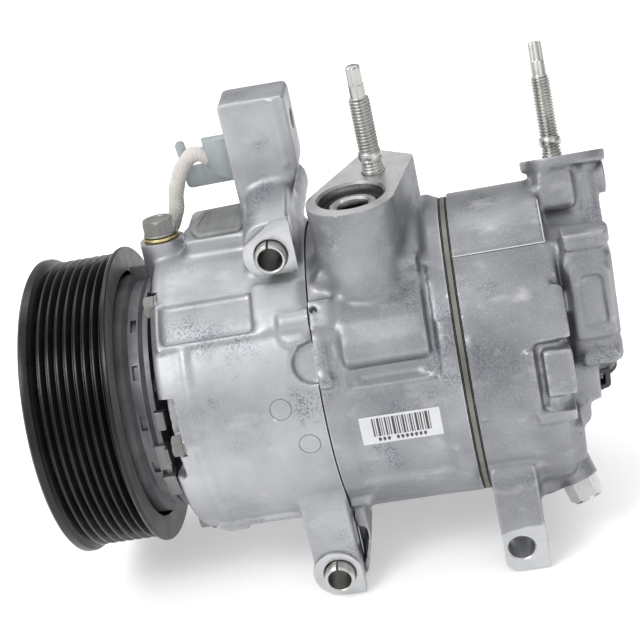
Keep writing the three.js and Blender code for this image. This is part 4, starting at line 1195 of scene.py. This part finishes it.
def lead_connector():
    shell = block(84.3, 92.2, 28, 41, 77.6, 89, 2)
    latch = prism([(86, 77.4), (90.4, 77.4), (90.4, 75.2, 1), (86, 75.2, 1)], "y", 34.5, 40)
    weld(shell, rod_y(27.2, 30, 84.6, 85, 3.6, 40), block(83.8, 92.6, 32, 34, 77, 89.6, 2), latch)
    carve(shell, [block(85.9, 90.7, 35, 43, 79.3, 87.4, 1)])
    bevelled(shell, 0.3)
    finish(shell, "lead_connector_shell", "lead_connector", PLASTIC)


def label():
    """A curved paper label with generic bars that say nothing."""
    r = 57.75
    x0 = 127.4
    finish(sector(x0, x0 + 30.2, r - 0.5, r, -6.2, 5.5, 24), "label_paper", look=PAPER)
    marks = []
    x = x0 + 4.6
    widths = (0.5, 0.25, 0.8, 0.3, 0.3, 0.6, 0.25, 0.4, 0.9, 0.3, 0.5, 0.25, 0.7, 0.4, 0.25, 0.6, 0.3, 0.8,
              0.3, 0.5, 0.3, 0.9, 0.3)
    for i, width in enumerate(widths):
        marks.append(sector(x, x + 1.1 * width, r - 0.3, r + 0.03, -3, 4.6, 6))
        x += 1.1 * width + (0.4, 0.6, 0.35)[i % 3]
    for k in (0, 1, 2, 4, 5, 6, 7, 8, 9, 10):
        x = x0 + 6 + 1.7 * k
        marks.append(sector(x, x + 1.1, r - 0.3, r + 0.03, -4.9, -3.8, 2))
        marks.append(sector(x + 0.3, x + 0.8, r - 0.3, r + 0.05, -5.3, -3.6, 2))
    finish(joined("label_print", marks), "label_print", look=INK)


# ---- what the CAD shows as it is
SLOT_LOOKS = {
    "cast_aluminium": CAST, "piston_aluminium": PISTON, "coated_plate": OLIVE, "spring_steel": SPRING,
    "zinc_steel": ZINC, "bearing_steel": STEEL, "coil_steel": COIL, "black_steel": BLACK,
    "coated_iron": IRON, "black_rubber": RUBBER, "black_plastic": PLASTIC, "cream_sleeve": SLEEVE,
    "bracket_steel": BRACKET,
}


def dress_cad_nodes():
    """Gives the inner parts, which keep their CAD shapes, looks and softened edges."""
    for obj in frame["nodes"].values():
        if not obj.hide_render:
            painted(SLOT_LOOKS[obj.data.materials[0].name], obj)
            shaded(obj)
            modify(obj, "BEVEL", width=0.2 * MM, segments=1, limit_method="ANGLE",
                   angle_limit=radians(32), harden_normals=True)


# ---- floor, lights and camera
def floor():
    size, z = 6, FLOOR_Z * MM
    mesh = bpy.data.meshes.new("floor")
    mesh.from_pydata([(-size, -size, z), (size, -size, z), (size, size, z), (-size, size, z)], [],
                     [(0, 1, 2, 3)])
    obj = added("floor", mesh)
    paper = Look("studio_floor", (0.9, 0.9, 0.9), (0.94, 0.94, 0.94), 0, (0.7, 0.85), mottle=180)
    paper.shader.inputs["Emission Color"].default_value = (1, 1, 1, 1)
    paper.shader.inputs["Emission Strength"].default_value = 0.28
    painted(paper.done(), obj)


def soft_light(name, at, width, depth, power):
    """An area light that faces the compressor; positions in metres."""
    lamp = bpy.data.lights.new(name, "AREA")
    lamp.shape = "RECTANGLE"
    lamp.size, lamp.size_y = width, depth
    lamp.energy = power
    obj = added(name, lamp)
    obj.location = at
    obj.rotation_mode = "QUATERNION"
    obj.rotation_quaternion = (Vector((0.12, 0, 0.01)) - Vector(at)).to_track_quat("-Z", "Y")


def sky():
    """A light tent: brightest above and to the front left, dimmer low on the right."""
    world = bpy.data.worlds.new("studio")
    world.use_nodes = True
    tree = world.node_tree
    across = add_node(tree, "VectorMath")
    across.operation = "DOT_PRODUCT"
    across.inputs[1].default_value = (-0.42, -0.3, 0.86)
    feed(tree, across.inputs[0], add_node(tree, "TexCoord").outputs["Generated"])
    level = add_node(tree, "MapRange", Value=across.outputs["Value"], From_Min=-0.5, From_Max=1,
                     To_Min=0.3, To_Max=1.1)
    backdrop = tree.nodes["Background"]
    feed(tree, backdrop.inputs["Strength"], level.outputs["Result"])
    backdrop.inputs["Color"].default_value = (1, 1, 1, 1)
    bpy.context.scene.world = world
    bpy.context.scene.view_settings.view_transform = "Standard"


def camera():
    azimuth, elevation, roll = map(radians, CAMERA_ANGLES)
    turns = ((azimuth, "Z"), (pi / 2 - elevation, "X"), (roll, "Z"))
    pan, tilt, twist = (Matrix.Rotation(angle, 4, axis) for angle, axis in turns)
    lens = bpy.data.cameras.new("camera")
    lens.lens = CAMERA_LENS
    lens.sensor_width = 36
    lens.clip_start, lens.clip_end = 0.01, 20
    obj = added("camera", lens)
    obj.matrix_world = Matrix.Translation(Vector(CAMERA_AT) * MM) @ pan @ tilt @ twist
    bpy.context.scene.camera = obj


# ---- build
front_housing()
cylinder_block()
rear_housing()
joint_rings()
pulley()
field_coil()
armature()
clutch_hub()
studs()
through_bolts()
fill_plug()
relief_valve()
sleeve("upper_mount_bush", "upper_mount_sleeve", UPPER_EAR)
sleeve("lower_mount_bush", "lower_mount_sleeve", FRONT_EAR)
check_valve()
control_valve()
coil_lead()
lead_bracket()
shelf_plate()
lead_connector()
label()
dress_cad_nodes()
floor()
soft_light("key", (-0.5, -0.7, 1.0), 0.5, 0.5, 6.5)
soft_light("fill", (0.9, -1.1, 0.5), 0.9, 0.9, 2)
soft_light("top", (0.1, 0.6, 1.3), 1.4, 0.6, 5)
sky()
camera()
